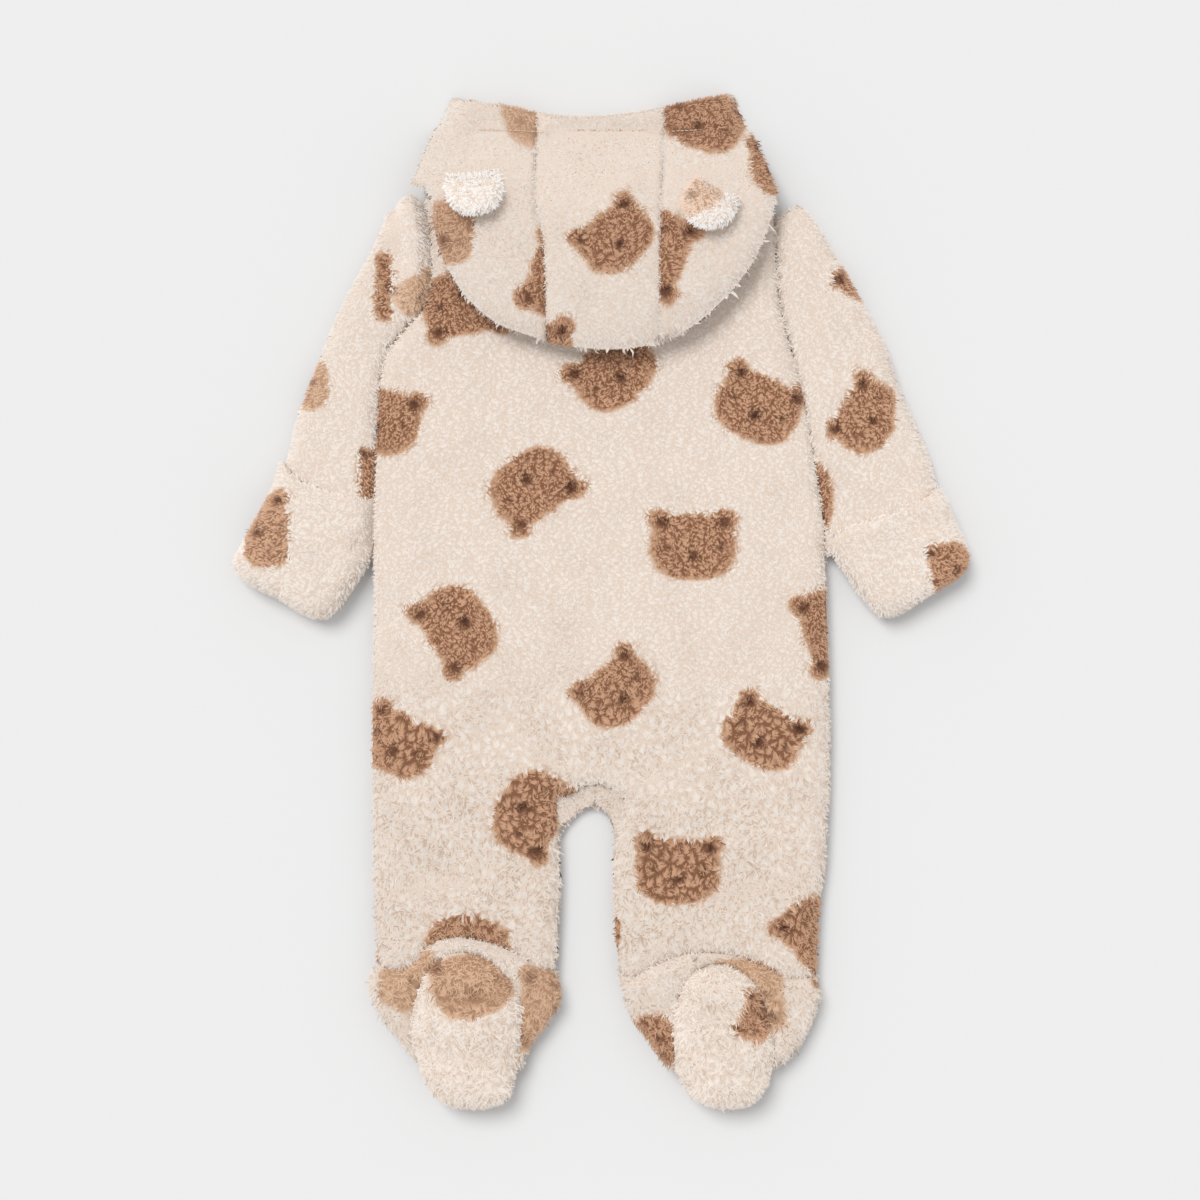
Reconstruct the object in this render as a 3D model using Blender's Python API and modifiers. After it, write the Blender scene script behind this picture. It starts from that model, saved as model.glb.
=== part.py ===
"""A baby's faux fur pramsuit, size 3 to 6 months, laid flat on its front.

The suit lies face down: its front is on the surface, its back faces up, and the hood has
flopped onto the back. +Z is up, +Y runs to the hood, and the origin is on the surface
under the middle of the suit. Tables and named sizes are in millimetres.

Each piece of cloth is a panel: an outline seen from above, made of edges, with a height
for its top and its underside. Near an edge the fur rounds off, fully at a fold and a
little at a seam. Panels lie on each other in layers, as the real pieces do.
"""

import math
from collections import namedtuple

import bpy
import numpy as np
from mathutils import Vector
from mathutils.geometry import delaunay_2d_cdt

MM = 0.001

# The cloth
GAP = 0.3              # between sewn pieces, and between layers that lie on each other
WALL = 8.0             # one layer: the knitted backing and its pile, pressed by its weight
STEP = 10.0            # spacing of points along an edge
FILL = 22.0            # spacing of points inside a panel
HOOD_FILL = 16.0
TUCK = 2.0             # how far what turns under lies in from a fold's outline
RIM_TURNS = (30, 60, 90)   # degrees round a rounded edge at which it has points
RING_CLEAR = 0.93      # a ring's point this share of its depth from all edges is kept
POINT_CLEAR = 1.4      # least distance between points near an edge
FILL_CLEAR = 0.3       # share of the spacing kept free between the rings and the middle
LINE_CLEAR = 2.5       # from a level line's ends to the panel's edges

# Heights above the surface, layer by layer
BACK_UNDER = WALL + GAP
BACK_TOP = 18.0
NAPE_UNDER = BACK_TOP + GAP
NAPE_TOP = NAPE_UNDER + WALL - 0.8
HOOD_UNDER = NAPE_TOP + GAP
SLEEVE_TOP = 17.0
MITT_TOP = 23.0
SOLE_UNDER = WALL + GAP
SOLE_TOP = 25.0
BAND_TOP = 20.0
EAR_THICK = 13.0
EAR_LIFT = 0.35        # an ear's root above the crowned hood
EAR_DROOP = 3.0        # its free end stands this much further off
EAR_ROOT = 0.6         # its sewn edge, as a share of its half length
EAR_POINTS = 20
ROOT_POINTS = 4
EAR_FILL = 10.0

# Sleeve and mitt
HOLLOW_LOW = 7.8       # the slit left between the two layers of a sleeve
HOLLOW_HIGH = 8.8
ARMHOLE_Y = 160.0      # the slit opens into the body above this
SIDE_WALL = 9.0        # from a sleeve's edge to its hollow
MITT_HOLLOW = (8.0, 10.5)  # the low and high side of the room for the hand
MOUTH_INSET = 0.22     # from each end of the cuff to the room's mouth, as a share of it

# Heights where the hood climbs over the nape and the body
NAPE_EDGE_Y = 250.0    # the upper edge of what turns under at the nape
OVER_NAPE_Y = 262.0    # below this the hood lies on the nape, above it on the cheeks
HEM_Y = 310.3          # the forehead hem is turned under above this, down to the surface
CHEEK_TOP_Y = 308.5
HOOD_LINES = (253.0, 269.0, 285.0, HEM_Y - 0.7, HEM_Y + 0.7)

# Zip
ZIP_X = -4.0           # its centre line
ZIP_TOP_Y = 242.0
ZIP_END_Y = -95.0
CROTCH_Y = -135.0
CHANNEL = 14.0         # clear width between the two fronts
TAPE_THICK = 1.5
TAPE_UNDER = 6.2       # height of the tape's outer face, which looks down
COIL_WIDE = 5.0
COIL_THICK = 1.4
OVERLAP = 0.2          # how far the zip's joined blocks reach into each other
CORNER = 0.5           # radius of the slider's corners
SLIDER = dict(wide=8.6, long=12.0, under=2.9, top=4.5)
BRIDGE = dict(wide=2.4, half=4.2, inner=3.0, under=0.2, top=0.8)
HINGE_Y = 230.0        # the pull's hinge, under the middle of the slider
HINGE_Z = 1.8
PULL = dict(wide=7.0, long=25.0, thick=1.0, eye_wide=3.4, eye_end=6.1, bar=0.5)

ANKLE_Y = -240.0       # where each leg front meets the foot's upper

Spot = namedtuple("Spot", "x y")
Edge = namedtuple("Edge", "points reach share under")
Fold = namedtuple("Fold", "piece x0 y0 x1 y1 width height")
Rise = namedtuple("Rise", "y z")
Ear = namedtuple("Ear", "x y half_wide half_long turn")
Half = namedtuple("Half", "side turn join flank arch inseam crotch neck sleeve cuff mitt flap "
                          "hem edge_hem edge pouch seam face foot_outer foot_inner sole_toe "
                          "sole_heel ear")


def spots(*rows):
    return [Spot(*row) for row in rows]


# ---- Outlines ----
# Both halves are listed the same way, from the shoulder down the outer side and up the
# inner one. That is anticlockwise on the left, so the right half's outlines are turned.

LEFT = Half(
    side="left", turn=1,
    # the body's edge beside the sleeve and mitt, then from the mitt to the ankle
    join=spots((-116, 267), (-112, 246), (-111, 222), (-113, 199), (-126, 182), (-138, 168),
               (-144, 152), (-146, 130), (-148, 90), (-149, 60), (-150, 38)),
    flank=spots((-150, 38), (-151, 1), (-152, -65), (-152, -131), (-151, -197), (-149, -238)),
    # the back leg's hem, an arch above the heel, then up the inside of the leg
    arch=spots((-149, -238), (-135, -244), (-123, -239), (-115, -228), (-100, -222),
               (-82, -223), (-60, -230), (-42, -241), (-29, -244)),
    inseam=spots((-29, -244), (-27, -215), (-26, -185), (-27, -155), (-29, -128)),
    crotch=spots((-27, -158), (-19, -144), (-4.3, -135)),
    neck=spots((-11, 242), (-45, 247), (-80, 257), (-116, 267)),
    sleeve=spots((-124, 271), (-135, 266), (-143, 254), (-149, 240), (-159, 220),
                 (-175, 191), (-188, 158), (-196, 139), (-204, 118), (-208, 96), (-213, 80)),
    cuff=Spot(-151.5, 54),
    mitt=spots((-211, 94), (-218, 76), (-230, 53), (-243, 31), (-245, 22), (-233, 10),
               (-214, 1), (-197, -9), (-184, -13), (-173, -7), (-164, 6), (-155, 21),
               (-150.4, 38)),
    flap=spots((-150, 68), (-165, 71), (-185, 76), (-200, 83), (-211, 94)),
    # hood: hem from the seam outwards, edge down to the shoulder, the pouch's fold, seam
    hem=spots((-42, 325), (-65, 330), (-99, 334)),
    edge_hem=spots((-99, 334), (-105, 322), (-111, 311)),
    edge=spots((-111.6, 309.6), (-119, 293), (-125, 274)),
    pouch=spots((-125, 274), (-112, 268), (-110, 246), (-103, 222), (-90, 200), (-68, 181),
                (-36, 170)),
    seam=spots((-36, 170), (-37, 228), (-43, 262), (-43, 290), (-42, 325)),
    face=spots((-11.5, 244), (-45, 272), (-66, 292), (-78, 308.5)),
    # foot: its outline down the outer side and up the inner one, and the sole
    foot_outer=spots((-149, -238.4), (-154, -250), (-150, -267), (-141, -282), (-131, -293),
                     (-122, -303)),
    foot_inner=spots((-53, -309), (-50, -300), (-44, -290), (-34, -277), (-26, -266),
                     (-26, -253), (-29, -244.4)),
    sole_toe=spots((-121, -303), (-118, -314), (-108, -329), (-94, -335), (-74, -335),
                   (-60, -328), (-54, -308)),
    sole_heel=spots((-54, -308), (-53, -284), (-53, -262), (-62, -247), (-76, -235),
                    (-92, -231), (-106, -235), (-117, -248), (-124, -270), (-125, -288),
                    (-121, -303)),
    ear=Ear(-83, 269, 20.5, 20, 6),
)
RIGHT = Half(
    side="right", turn=-1,
    join=spots((114, 265), (114, 242), (117, 199), (123, 173), (129, 152), (137, 114),
               (142, 81), (146, 56), (148, 38)),
    flank=spots((148, 38), (150, 1), (152, -65), (152, -104), (150, -164), (146, -197),
                (143, -247)),
    arch=spots((143, -247), (125, -249), (111, -243), (97, -236), (80, -232), (59, -232),
               (42, -237), (22, -248), (11, -245)),
    inseam=spots((11, -245), (8, -215), (7, -185), (8, -155), (15, -131)),
    crotch=spots((8, -158), (3, -142), (-3.7, -135)),
    neck=spots((3, 242), (40, 247), (76, 256), (114, 265)),
    sleeve=spots((130, 265), (141, 256), (152, 237), (165, 215), (177, 193), (189, 170),
                 (200, 139), (210, 116), (220, 90), (224, 66)),
    cuff=Spot(149.5, 31),
    mitt=spots((223, 76), (229, 70), (236, 52), (244, 32), (241, 18), (227, 9), (212, 0),
               (196, -10), (185, -12), (174, -2), (163, 13), (153, 28), (148.4, 38)),
    flap=spots((148, 46), (165, 52), (190, 60), (208, 69), (223, 76)),
    hem=spots((42, 329), (76, 336), (88, 336)),
    edge_hem=spots((88, 336), (94, 323), (99.4, 311)),
    edge=spots((100, 309.6), (108, 292), (116, 270)),
    pouch=spots((116, 270), (115, 262), (110, 243), (99, 220), (82, 198), (60, 179),
                (39, 169)),
    seam=spots((39, 169), (38, 215), (39, 255), (41, 290), (42, 329)),
    face=spots((3.5, 244), (35, 268), (58, 292), (68, 308.5)),
    foot_outer=spots((143, -247.4), (146, -254), (144, -267), (137, -285), (128, -300),
                     (115, -308)),
    foot_inner=spots((49, -312), (41, -305), (33, -294), (23, -280), (15, -265), (11, -245.4)),
    sole_toe=spots((114, -308), (110, -322), (100, -332), (84, -336), (68, -333),
                   (56, -325), (50, -311)),
    sole_heel=spots((50, -311), (48, -288), (50, -268), (56, -250), (66, -241), (79, -238),
                    (93, -244), (104, -256), (110, -272), (114, -290), (114, -308)),
    ear=Ear(71, 260, 19.5, 19.5, -28),
)
HALVES = (LEFT, RIGHT)

# What the two halves share, from left to right or, at the neck and hem, from the right
CROTCH_BACK = spots((-29, -128), (-20, -129), (-13, -123), (2, -122), (15, -131))
NECK_BACK = spots((114, 265), (70, 259), (0, 256), (-70, 259), (-116, 267))
HEM_MID = spots((41.5, 329), (26, 326), (0, 323), (-22, 323), (-41.5, 325))
POUCH_MID = spots((-35.6, 170), (-20, 166), (4, 164), (26, 166), (38.6, 169))

# Soft folds: the line of each from above, how wide it is, and how high or deep
FOLDS = [Fold(*row) for row in (
    ("sleeve_left", -124, 262, -123, 204, 10, 6.5),
    ("sleeve_left", -139, 232, -141, 192, 5, -2.5),
    ("sleeve_left", -185, 100, -193, 78, 5, -3.0),
    ("sleeve_left", -160, 140, -168, 100, 9, 1.5),
    ("mitt_left", -152, 39, -170, 38, 4, -2.5),
    ("mitt_left", -200, 60, -180, 30, 16, 2.0),
    ("sleeve_right", 196, 106, 201, 76, 4, -3.0),
    ("sleeve_right", 140, 225, 160, 185, 12, 2.0),
    ("mitt_right", 192, 68, 204, 48, 4, -3.0),
    ("mitt_right", 214, 58, 196, 40, 5, -2.0),
    ("hood", -82, 311, 72, 311, 5, -1.8),
    ("hood", -48, 296, 25, 288, 10, -2.0),
    ("hood", 98, 304, 91, 286, 6, -3.0),
    ("hood", -118, 285, -80, 296, 8, -2.0),
    ("hood", -8, 205, 12, 186, 26, 2.0),
    ("hood", -80, 222, -62, 196, 16, 1.5),
    ("hood", 72, 218, 62, 194, 16, 1.5),
    ("heel_band_left", -142, -270, -122, -268, 5, -3.0),
    ("heel_band_right", 50, -262, 38, -276, 5, -3.0),
    ("sole_left", -120, -292, -62, -300, 7, -2.0),
    ("sole_right", 52, -282, 108, -276, 8, -2.5),
    ("sole_left", -90, -258, -89, -312, 22, 3.0),
    ("sole_right", 80, -262, 82, -314, 22, 3.0),
)]

# Height of the hood's top along its middle, from the forehead hem to the pouch's fold
HOOD_RISE = [Rise(*row) for row in (
    (340, 15.0), (320, 16.5), (309, 17.0), (299, 20.0), (285, 26.0), (270, 32.0), (258, 36.0),
    (235, 38.5), (205, 39.0), (160, 37.0),
)]

# How the fur rounds off at each kind of edge: how far in that starts, and the share of
# the panel's thickness that is gone at the edge, on top and underneath
BACK_FOLD = dict(reach=14.0, share=0.85, under=0.0)
BACK_JOIN = dict(reach=9.0, share=0.4, under=0.0)
BACK_HEM = dict(reach=8.0, share=0.6, under=0.0)
FRONT_FOLD = dict(reach=7.0, share=0.0, under=0.6)
PLAIN = dict(reach=3.0, share=0.0, under=0.0)
SLEEVE_FOLD = dict(reach=13.0, share=0.5, under=0.42)
SLEEVE_JOIN = dict(reach=9.0, share=0.45, under=0.42)
CUFF = dict(reach=4.0, share=0.18, under=0.1)
FLAP = dict(reach=5.0, share=0.25, under=0.0)
SEAM = dict(reach=7.0, share=0.25, under=0.0)
POUCH = dict(reach=17.0, share=0.9, under=0.0)
HEM = dict(reach=5.0, share=0.4, under=0.2)
NAPE = dict(reach=9.0, share=0.0, under=0.75)
BAND = dict(reach=9.0, share=0.45, under=0.2)
PAD = dict(reach=14.0, share=0.55, under=0.3)
EAR = dict(reach=11.0, share=0.55, under=0.35)
EAR_SEAM = dict(reach=9.0, share=0.7, under=0.0)

CREAM = (0.871, 0.788, 0.701)
SHADE = (0.83, 0.72, 0.63)
TAPE_CREAM = (0.80, 0.73, 0.64)
ZINC_GREY = (0.62, 0.60, 0.57)


# ---- Curves ----

def along(row, step=STEP):
    """Points at an even spacing on a smooth curve through the spots of a row."""
    p = np.array([tuple(spot) for spot in row], float)
    if len(p) > 2:
        p = np.vstack([2 * p[0] - p[1], p, 2 * p[-1] - p[-2]])
        t = np.linspace(0, 1, 12, endpoint=False)[:, None]
        runs = [0.5 * (2 * b + (c - a) * t + (2 * a - 5 * b + 4 * c - d) * t ** 2
                       + (3 * b - a - 3 * c + d) * t ** 3)
                for a, b, c, d in zip(p, p[1:], p[2:], p[3:])]
        p = np.vstack(runs + [p[-2:-1]])
    run = np.concatenate([[0], np.cumsum(np.linalg.norm(np.diff(p, axis=0), axis=1))])
    stops = np.linspace(0, run[-1], max(1, round(run[-1] / step)) + 1)
    return np.column_stack([np.interp(stops, run, p[:, 0]), np.interp(stops, run, p[:, 1])])


def normals(points, closed=False):
    """Unit vectors to the right of the way the points run: outwards if anticlockwise."""
    way = np.gradient(points, axis=0)
    if closed:
        way = np.roll(points, -1, axis=0) - np.roll(points, 1, axis=0)
    way = way / np.linalg.norm(way, axis=1)[:, None]
    return np.column_stack([way[:, 1], -way[:, 0]])


def moved(points, distance):
    """The points moved to their right, for the piece on the other side of a seam."""
    return points + normals(points) * distance


def distance_to(points, line):
    """How far each point is from a line of points."""
    way = line[1:] - line[:-1]
    span = np.maximum((way ** 2).sum(axis=1), 1e-9)
    offset = points[:, None, :] - line[None, :-1]
    t = np.clip((offset * way).sum(axis=2) / span, 0, 1)
    return np.linalg.norm(offset - t[..., None] * way, axis=2).min(axis=1)


def inside(points, outline):
    """Whether each point is inside a closed outline."""
    x, y = points[:, :1], points[:, 1:]
    a, b = outline, np.roll(outline, -1, axis=0)
    crosses = (a[:, 1] > y) != (b[:, 1] > y)
    rise = np.where(b[:, 1] == a[:, 1], 1.0, b[:, 1] - a[:, 1])
    at = a[:, 0] + (y - a[:, 1]) * (b[:, 0] - a[:, 0]) / rise
    return (crosses & (x < at)).sum(axis=1) % 2 == 1


def ring_of(edges):
    """The closed outline of a panel, and the reach of the edge each point is on."""
    points = np.vstack([edge.points[:-1] for edge in edges])
    reach = np.concatenate([[edge.reach] * (len(edge.points) - 1) for edge in edges])
    return points, reach


def laid(edges, turn):
    """A half's edges as an anticlockwise outline, whichever side it is on."""
    if turn > 0:
        return edges
    return [edge._replace(points=edge.points[::-1]) for edge in reversed(edges)]


# ---- Panels ----

def rounded(distance, reach):
    """What is gone from a rounded edge: 1 at the edge, 0 from its reach inwards."""
    left = np.clip(1 - distance / reach, 0, 1)
    return 1 - np.sqrt(1 - left ** 2)


def rim_points(outline, reach):
    """The outline, and rings of points inside it where the rounded edge bends."""
    kept = outline
    inward = -normals(outline, closed=True)
    closed = np.vstack([outline, outline[:1]])
    for turn in RIM_TURNS:
        depth = reach * (1 - math.cos(math.radians(turn)))
        ring = outline + inward * depth[:, None]
        clear = distance_to(ring, closed) > depth * RING_CLEAR
        for point in ring[clear & inside(ring, outline)]:
            if np.linalg.norm(kept - point, axis=1).min() > POINT_CLEAR:
                kept = np.vstack([kept, point])
    return kept


def fill_points(outline, reach, spacing):
    """A staggered grid of points in the middle of a panel."""
    low, high = outline.min(axis=0), outline.max(axis=0)
    rows = np.arange(low[1], high[1], spacing * 0.87)
    grid = np.array([(x, y) for n, y in enumerate(rows)
                     for x in np.arange(low[0] + (n % 2) * spacing / 2, high[0], spacing)])
    closed = np.vstack([outline, outline[:1]])
    clear = distance_to(grid, closed) > reach.max() + spacing * FILL_CLEAR
    return grid[inside(grid, outline) & clear]


def cross_line(outline, y):
    """A level line of points across a panel, just clear of its edges."""
    low, high = outline[:, 0].min(), outline[:, 0].max()
    count = max(2, round((high - low) / STEP))
    line = np.column_stack([np.linspace(low, high, count), np.full(count, y)])
    closed = np.vstack([outline, outline[:1]])
    return line[inside(line, outline) & (distance_to(line, closed) > LINE_CLEAR)]


def triangles(points, rim_count, lines=()):
    """Triangles inside the outline that the first points make, with lines kept as edges.

    Gives the points, the faces, and where the outline's points are among them.
    """
    verts = [Vector(point) for point in points]
    keep = []
    for line in lines:
        keep += [(len(verts) + i, len(verts) + i + 1) for i in range(len(line) - 1)]
        verts += [Vector(point) for point in line]
    made = delaunay_2d_cdt(verts, keep, [list(range(rim_count))], 1, 1e-4)
    place = {old: new for new, olds in enumerate(made[3]) for old in olds}
    return np.array([tuple(v) for v in made[0]]), made[2], [place[i] for i in range(rim_count)]


def panel_mesh(name, edges, top, under, fill=FILL, levels=()):
    """A closed mesh: a panel's top, its underside and the band round its edge.

    top and under give a height for arrays of x and y. A flat underside has fewer points.
    """
    outline, reach = ring_of(edges)
    rim = rim_points(outline, reach)
    count = len(outline)

    def heights(plan):
        high, low = top(plan[:, 0], plan[:, 1]), under(plan[:, 0], plan[:, 1])
        gone = [rounded(distance_to(plan, edge.points), edge.reach) for edge in edges]
        gone_top = np.max([edge.share * g for edge, g in zip(edges, gone)], axis=0)
        gone_under = np.max([edge.under * g for edge, g in zip(edges, gone)], axis=0)
        thick = high - low
        return high - thick * gone_top, low + thick * gone_under

    middle = fill_points(outline, reach, fill)
    lines = [cross_line(outline, y) for y in levels]
    plan, faces, edge_at = triangles(np.vstack([rim, middle]), count, lines)
    flat = np.ptp(under(plan[:, 0], plan[:, 1])) < 1e-6
    plan_low, faces_low, edge_low = plan, faces, edge_at
    if flat:
        rounds_under = any(edge.under for edge in edges)
        plan_low, faces_low, edge_low = triangles(rim if rounds_under else outline, count)
    high, low = heights(plan)[0], heights(plan_low)[1]

    verts = np.vstack([np.column_stack([plan, high]), np.column_stack([plan_low, low])]) * MM
    start = len(plan)
    polygons = [tuple(face) for face in faces]
    polygons += [tuple(start + v for v in reversed(face)) for face in faces_low]
    for i in range(count):
        j = (i + 1) % count
        polygons.append((edge_at[j], edge_at[i], start + edge_low[i], start + edge_low[j]))
    mesh = bpy.data.meshes.new(name)
    mesh.from_pydata(verts.tolist(), [], polygons)
    return mesh


def swollen(mesh, distance):
    """The same mesh with every point moved out: the room that a piece takes up."""
    ways = [vertex.normal.copy() for vertex in mesh.vertices]
    for vertex, way in zip(mesh.vertices, ways):
        vertex.co += way * distance * MM
    return mesh


def flat_at(z):
    """A height that is the same all over a panel."""
    return lambda x, y: np.full(len(x), float(z))


def with_folds(piece, z):
    """A flat height with the soft folds of one piece added."""
    def height(x, y):
        total = np.full(len(x), float(z))
        for fold in FOLDS:
            if fold.piece == piece:
                line = np.array([(fold.x0, fold.y0), (fold.x1, fold.y1)], float)
                far = distance_to(np.column_stack([x, y]), line)
                total += fold.height * np.exp(-(far / fold.width) ** 2)
        return total
    return height


# ---- Scene ----

def collection(name):
    made = bpy.data.collections.new(name)
    bpy.context.scene.collection.children.link(made)
    return made


def material(name, colour, roughness, metallic=0.0):
    made = bpy.data.materials.new(name)
    made.use_nodes = True
    shader = made.node_tree.nodes["Principled BSDF"]
    shader.inputs["Base Color"].default_value = (*colour, 1)
    shader.inputs["Roughness"].default_value = roughness
    shader.inputs["Metallic"].default_value = metallic
    return made


for old in list(bpy.data.objects):
    bpy.data.objects.remove(old, do_unlink=True)
PARTS = collection("faux_fur_pramsuit")
CUTTERS = collection("cutters")
FUR = material("teddy_fur", CREAM, 0.95)
FUR_UNDER = material("teddy_fur_underneath", SHADE, 0.95)
TAPE = material("zip_tape", TAPE_CREAM, 0.8)
ZINC = material("zip_zinc", ZINC_GREY, 0.35, 0.9)


def add(name, mesh, look):
    """One piece of the suit, in the suit's collection."""
    piece = bpy.data.objects.new(name, mesh)
    mesh.materials.append(look)
    mesh.shade_smooth()
    PARTS.objects.link(piece)
    return piece


def carve(piece, mesh):
    """Cut a mesh out of a piece."""
    cutter = bpy.data.objects.new(mesh.name, mesh)
    CUTTERS.objects.link(cutter)
    cutter.hide_render = True
    cutter.display_type = "WIRE"
    cut = piece.modifiers.new(mesh.name, "BOOLEAN")
    cut.object = cutter
    cut.operation = "DIFFERENCE"


# ---- Body ----

JOINS = {half.side: along(half.join) for half in HALVES}
ARCHES = {half.side: along(half.arch) for half in HALVES}
HEELS = {half.side: along(half.sole_heel) for half in HALVES}
HOOD_SEAMS = {half.side: along(half.seam) for half in HALVES}


def back_body():
    """The back with both leg backs, one cut piece, on top of the two fronts."""
    edges = []
    for half in HALVES:
        down = [Edge(JOINS[half.side], **BACK_JOIN), Edge(along(half.flank), **BACK_FOLD),
                Edge(ARCHES[half.side], **BACK_HEM), Edge(along(half.inseam), **BACK_FOLD)]
        edges += laid(down, half.turn)
        if half is LEFT:
            edges.append(Edge(along(CROTCH_BACK), **BACK_FOLD))
    edges.append(Edge(along(NECK_BACK), **PLAIN))
    add("back_body", panel_mesh("back_body", edges, flat_at(BACK_TOP), flat_at(BACK_UNDER)), FUR)


def front(half):
    """One front with its leg front, flat on the surface, cut away beside the zip."""
    stile = ZIP_X - half.turn * CHANNEL / 2
    seam = ZIP_X - half.turn * GAP / 2
    outer = half.flank[:-1] + spots((half.flank[-1].x, ANKLE_Y + GAP))
    inner = spots((half.inseam[0].x, ANKLE_Y + GAP)) + half.inseam[1:-2]
    inner += [half.crotch[0]]
    hem = spots(outer[-1], inner[0])
    slot = spots((seam, CROTCH_Y), (seam, ZIP_END_Y), (stile, ZIP_END_Y), (stile, ZIP_TOP_Y))
    edges = [Edge(JOINS[half.side], **FRONT_FOLD), Edge(along(outer), **FRONT_FOLD),
             Edge(along(hem), **PLAIN), Edge(along(inner), **FRONT_FOLD),
             Edge(along(half.crotch), **FRONT_FOLD)]
    edges += [Edge(along(pair), **PLAIN) for pair in zip(slot, slot[1:])]
    edges.append(Edge(along(half.neck), **PLAIN))
    name = f"front_{half.side}"
    mesh = panel_mesh(name, laid(edges, half.turn), flat_at(WALL), flat_at(0))
    add(name, mesh, FUR_UNDER)


# ---- Sleeves and mitts ----

def sleeve_edges(half):
    outer = along(half.sleeve)
    beside = moved(JOINS[half.side], half.turn * GAP)
    beside = beside[(beside[:, 1] > half.cuff.y + STEP / 2) & (beside[:, 1] < half.join[0].y - 2)]
    inner = np.vstack([[tuple(half.cuff)], beside[::-1]])
    return [Edge(outer, **SLEEVE_FOLD), Edge(along((outer[-1], half.cuff)), **CUFF),
            Edge(inner, **SLEEVE_JOIN), Edge(along((inner[-1], outer[0])), **SLEEVE_JOIN)]


def sleeve_hollow(half):
    """The slit between a sleeve's layers, open at the armhole and at the cuff."""
    outer = moved(along(half.sleeve), -half.turn * SIDE_WALL)[3:]
    past_cuff = outer[-1] + (outer[-1] - outer[-3])
    beside = JOINS[half.side]
    up = beside[:, 1]
    armhole = moved(beside, -half.turn)[(up > ARMHOLE_Y) & (up < outer[0][1])]
    closed = moved(beside, half.turn * (GAP + SIDE_WALL))
    closed = closed[(up > half.cuff.y - STEP) & (up < ARMHOLE_Y - STEP)]
    ring = np.vstack([outer, [past_cuff], closed[::-1], armhole[::-1], outer[:1]])
    edges = laid([Edge(ring, **PLAIN)], half.turn)
    return panel_mesh(f"hollow_{half.side}", edges, flat_at(HOLLOW_HIGH), flat_at(HOLLOW_LOW))


def sleeve(half):
    """A flattened tube from the armhole to the cuff, whose end the mitt covers."""
    name = f"sleeve_{half.side}"
    edges = laid(sleeve_edges(half), half.turn)
    piece = add(name, panel_mesh(name, edges, with_folds(name, SLEEVE_TOP), flat_at(0)), FUR)
    carve(piece, sleeve_hollow(half))


def mitt(half):
    """The fold-over mitt: a bag round the hand, whose free flap lies on the sleeve's end."""
    name = f"mitt_{half.side}"
    beside = moved(JOINS[half.side], half.turn * GAP)
    low, high = half.mitt[-1].y + STEP / 2, half.flap[0].y - STEP / 2
    beside = beside[(beside[:, 1] > low) & (beside[:, 1] < high)][::-1]
    flap = along(half.flap)
    inner = np.vstack([[tuple(half.mitt[-1])], beside, flap[:1]])
    edges = laid([Edge(along(half.mitt), **SLEEVE_FOLD), Edge(inner, **SLEEVE_JOIN),
                  Edge(flap, **FLAP)], half.turn)
    piece = add(name, panel_mesh(name, edges, with_folds(name, MITT_TOP), flat_at(0)), FUR)
    sleeve_name = f"sleeve_{half.side}"
    around = laid([edge._replace(under=0.0) for edge in sleeve_edges(half)], half.turn)
    room = panel_mesh(f"room_for_{sleeve_name}", around,
                      with_folds(sleeve_name, SLEEVE_TOP), flat_at(-1))
    carve(piece, swollen(room, 1.5 * GAP))
    carve(piece, mitt_hollow(half))


def mitt_hollow(half):
    """The room for the hand, closed round the fingers and open to the sleeve's end."""
    low, high = MITT_HOLLOW
    fingers = moved(along(half.mitt), -half.turn * SIDE_WALL)[3:-3]
    cuff = np.array([tuple(half.cuff), tuple(half.sleeve[-1])])
    mouth = cuff + (cuff[::-1] - cuff) * MOUTH_INSET + (0, STEP / 2)
    ring = np.vstack([fingers, mouth, fingers[:1]])
    edges = laid([Edge(ring, **PLAIN)], half.turn)
    return panel_mesh(f"hand_room_{half.side}", edges, flat_at(high), flat_at(low))


# ---- Hood ----

RISE = along([Spot(row.y, row.z) for row in HOOD_RISE], 3.0)[::-1]


def hood_top(x, y):
    """Height of the hood: low at the forehead hem, high on the pouch."""
    return np.interp(y, RISE[:, 0], RISE[:, 1]) + with_folds("hood", 0)(x, y)


def hood_under(x, y):
    """Underside of the hood's upper layer, clear of the layers below it."""
    floor = np.where(y > OVER_NAPE_Y, BACK_UNDER, HOOD_UNDER)
    single = np.maximum(floor, hood_top(x, y) - WALL)
    return np.where(y > HEM_Y, 0, single)


def hood():
    """The upper layer: a centre strip and two side panels, from the hem to the fold."""
    centre = [Edge(along(HEM_MID), **HEM), Edge(moved(HOOD_SEAMS["left"], GAP)[::-1], **SEAM),
              Edge(along(POUCH_MID), **POUCH), Edge(moved(HOOD_SEAMS["right"], -GAP), **SEAM)]
    pieces = {"hood_centre": centre}
    for half in HALVES:
        step = np.array([tuple(half.edge_hem[-1]), tuple(half.edge[0])])
        down = [Edge(along(half.hem), **HEM), Edge(along(half.edge_hem), **POUCH),
                Edge(step, **POUCH), Edge(along(half.edge), **POUCH),
                Edge(along(half.pouch), **POUCH), Edge(HOOD_SEAMS[half.side], **SEAM)]
        pieces[f"hood_side_{half.side}"] = laid(down, half.turn)
    for name, edges in pieces.items():
        mesh = panel_mesh(name, edges, hood_top, hood_under, HOOD_FILL, HOOD_LINES)
        add(name, mesh, FUR)


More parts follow.
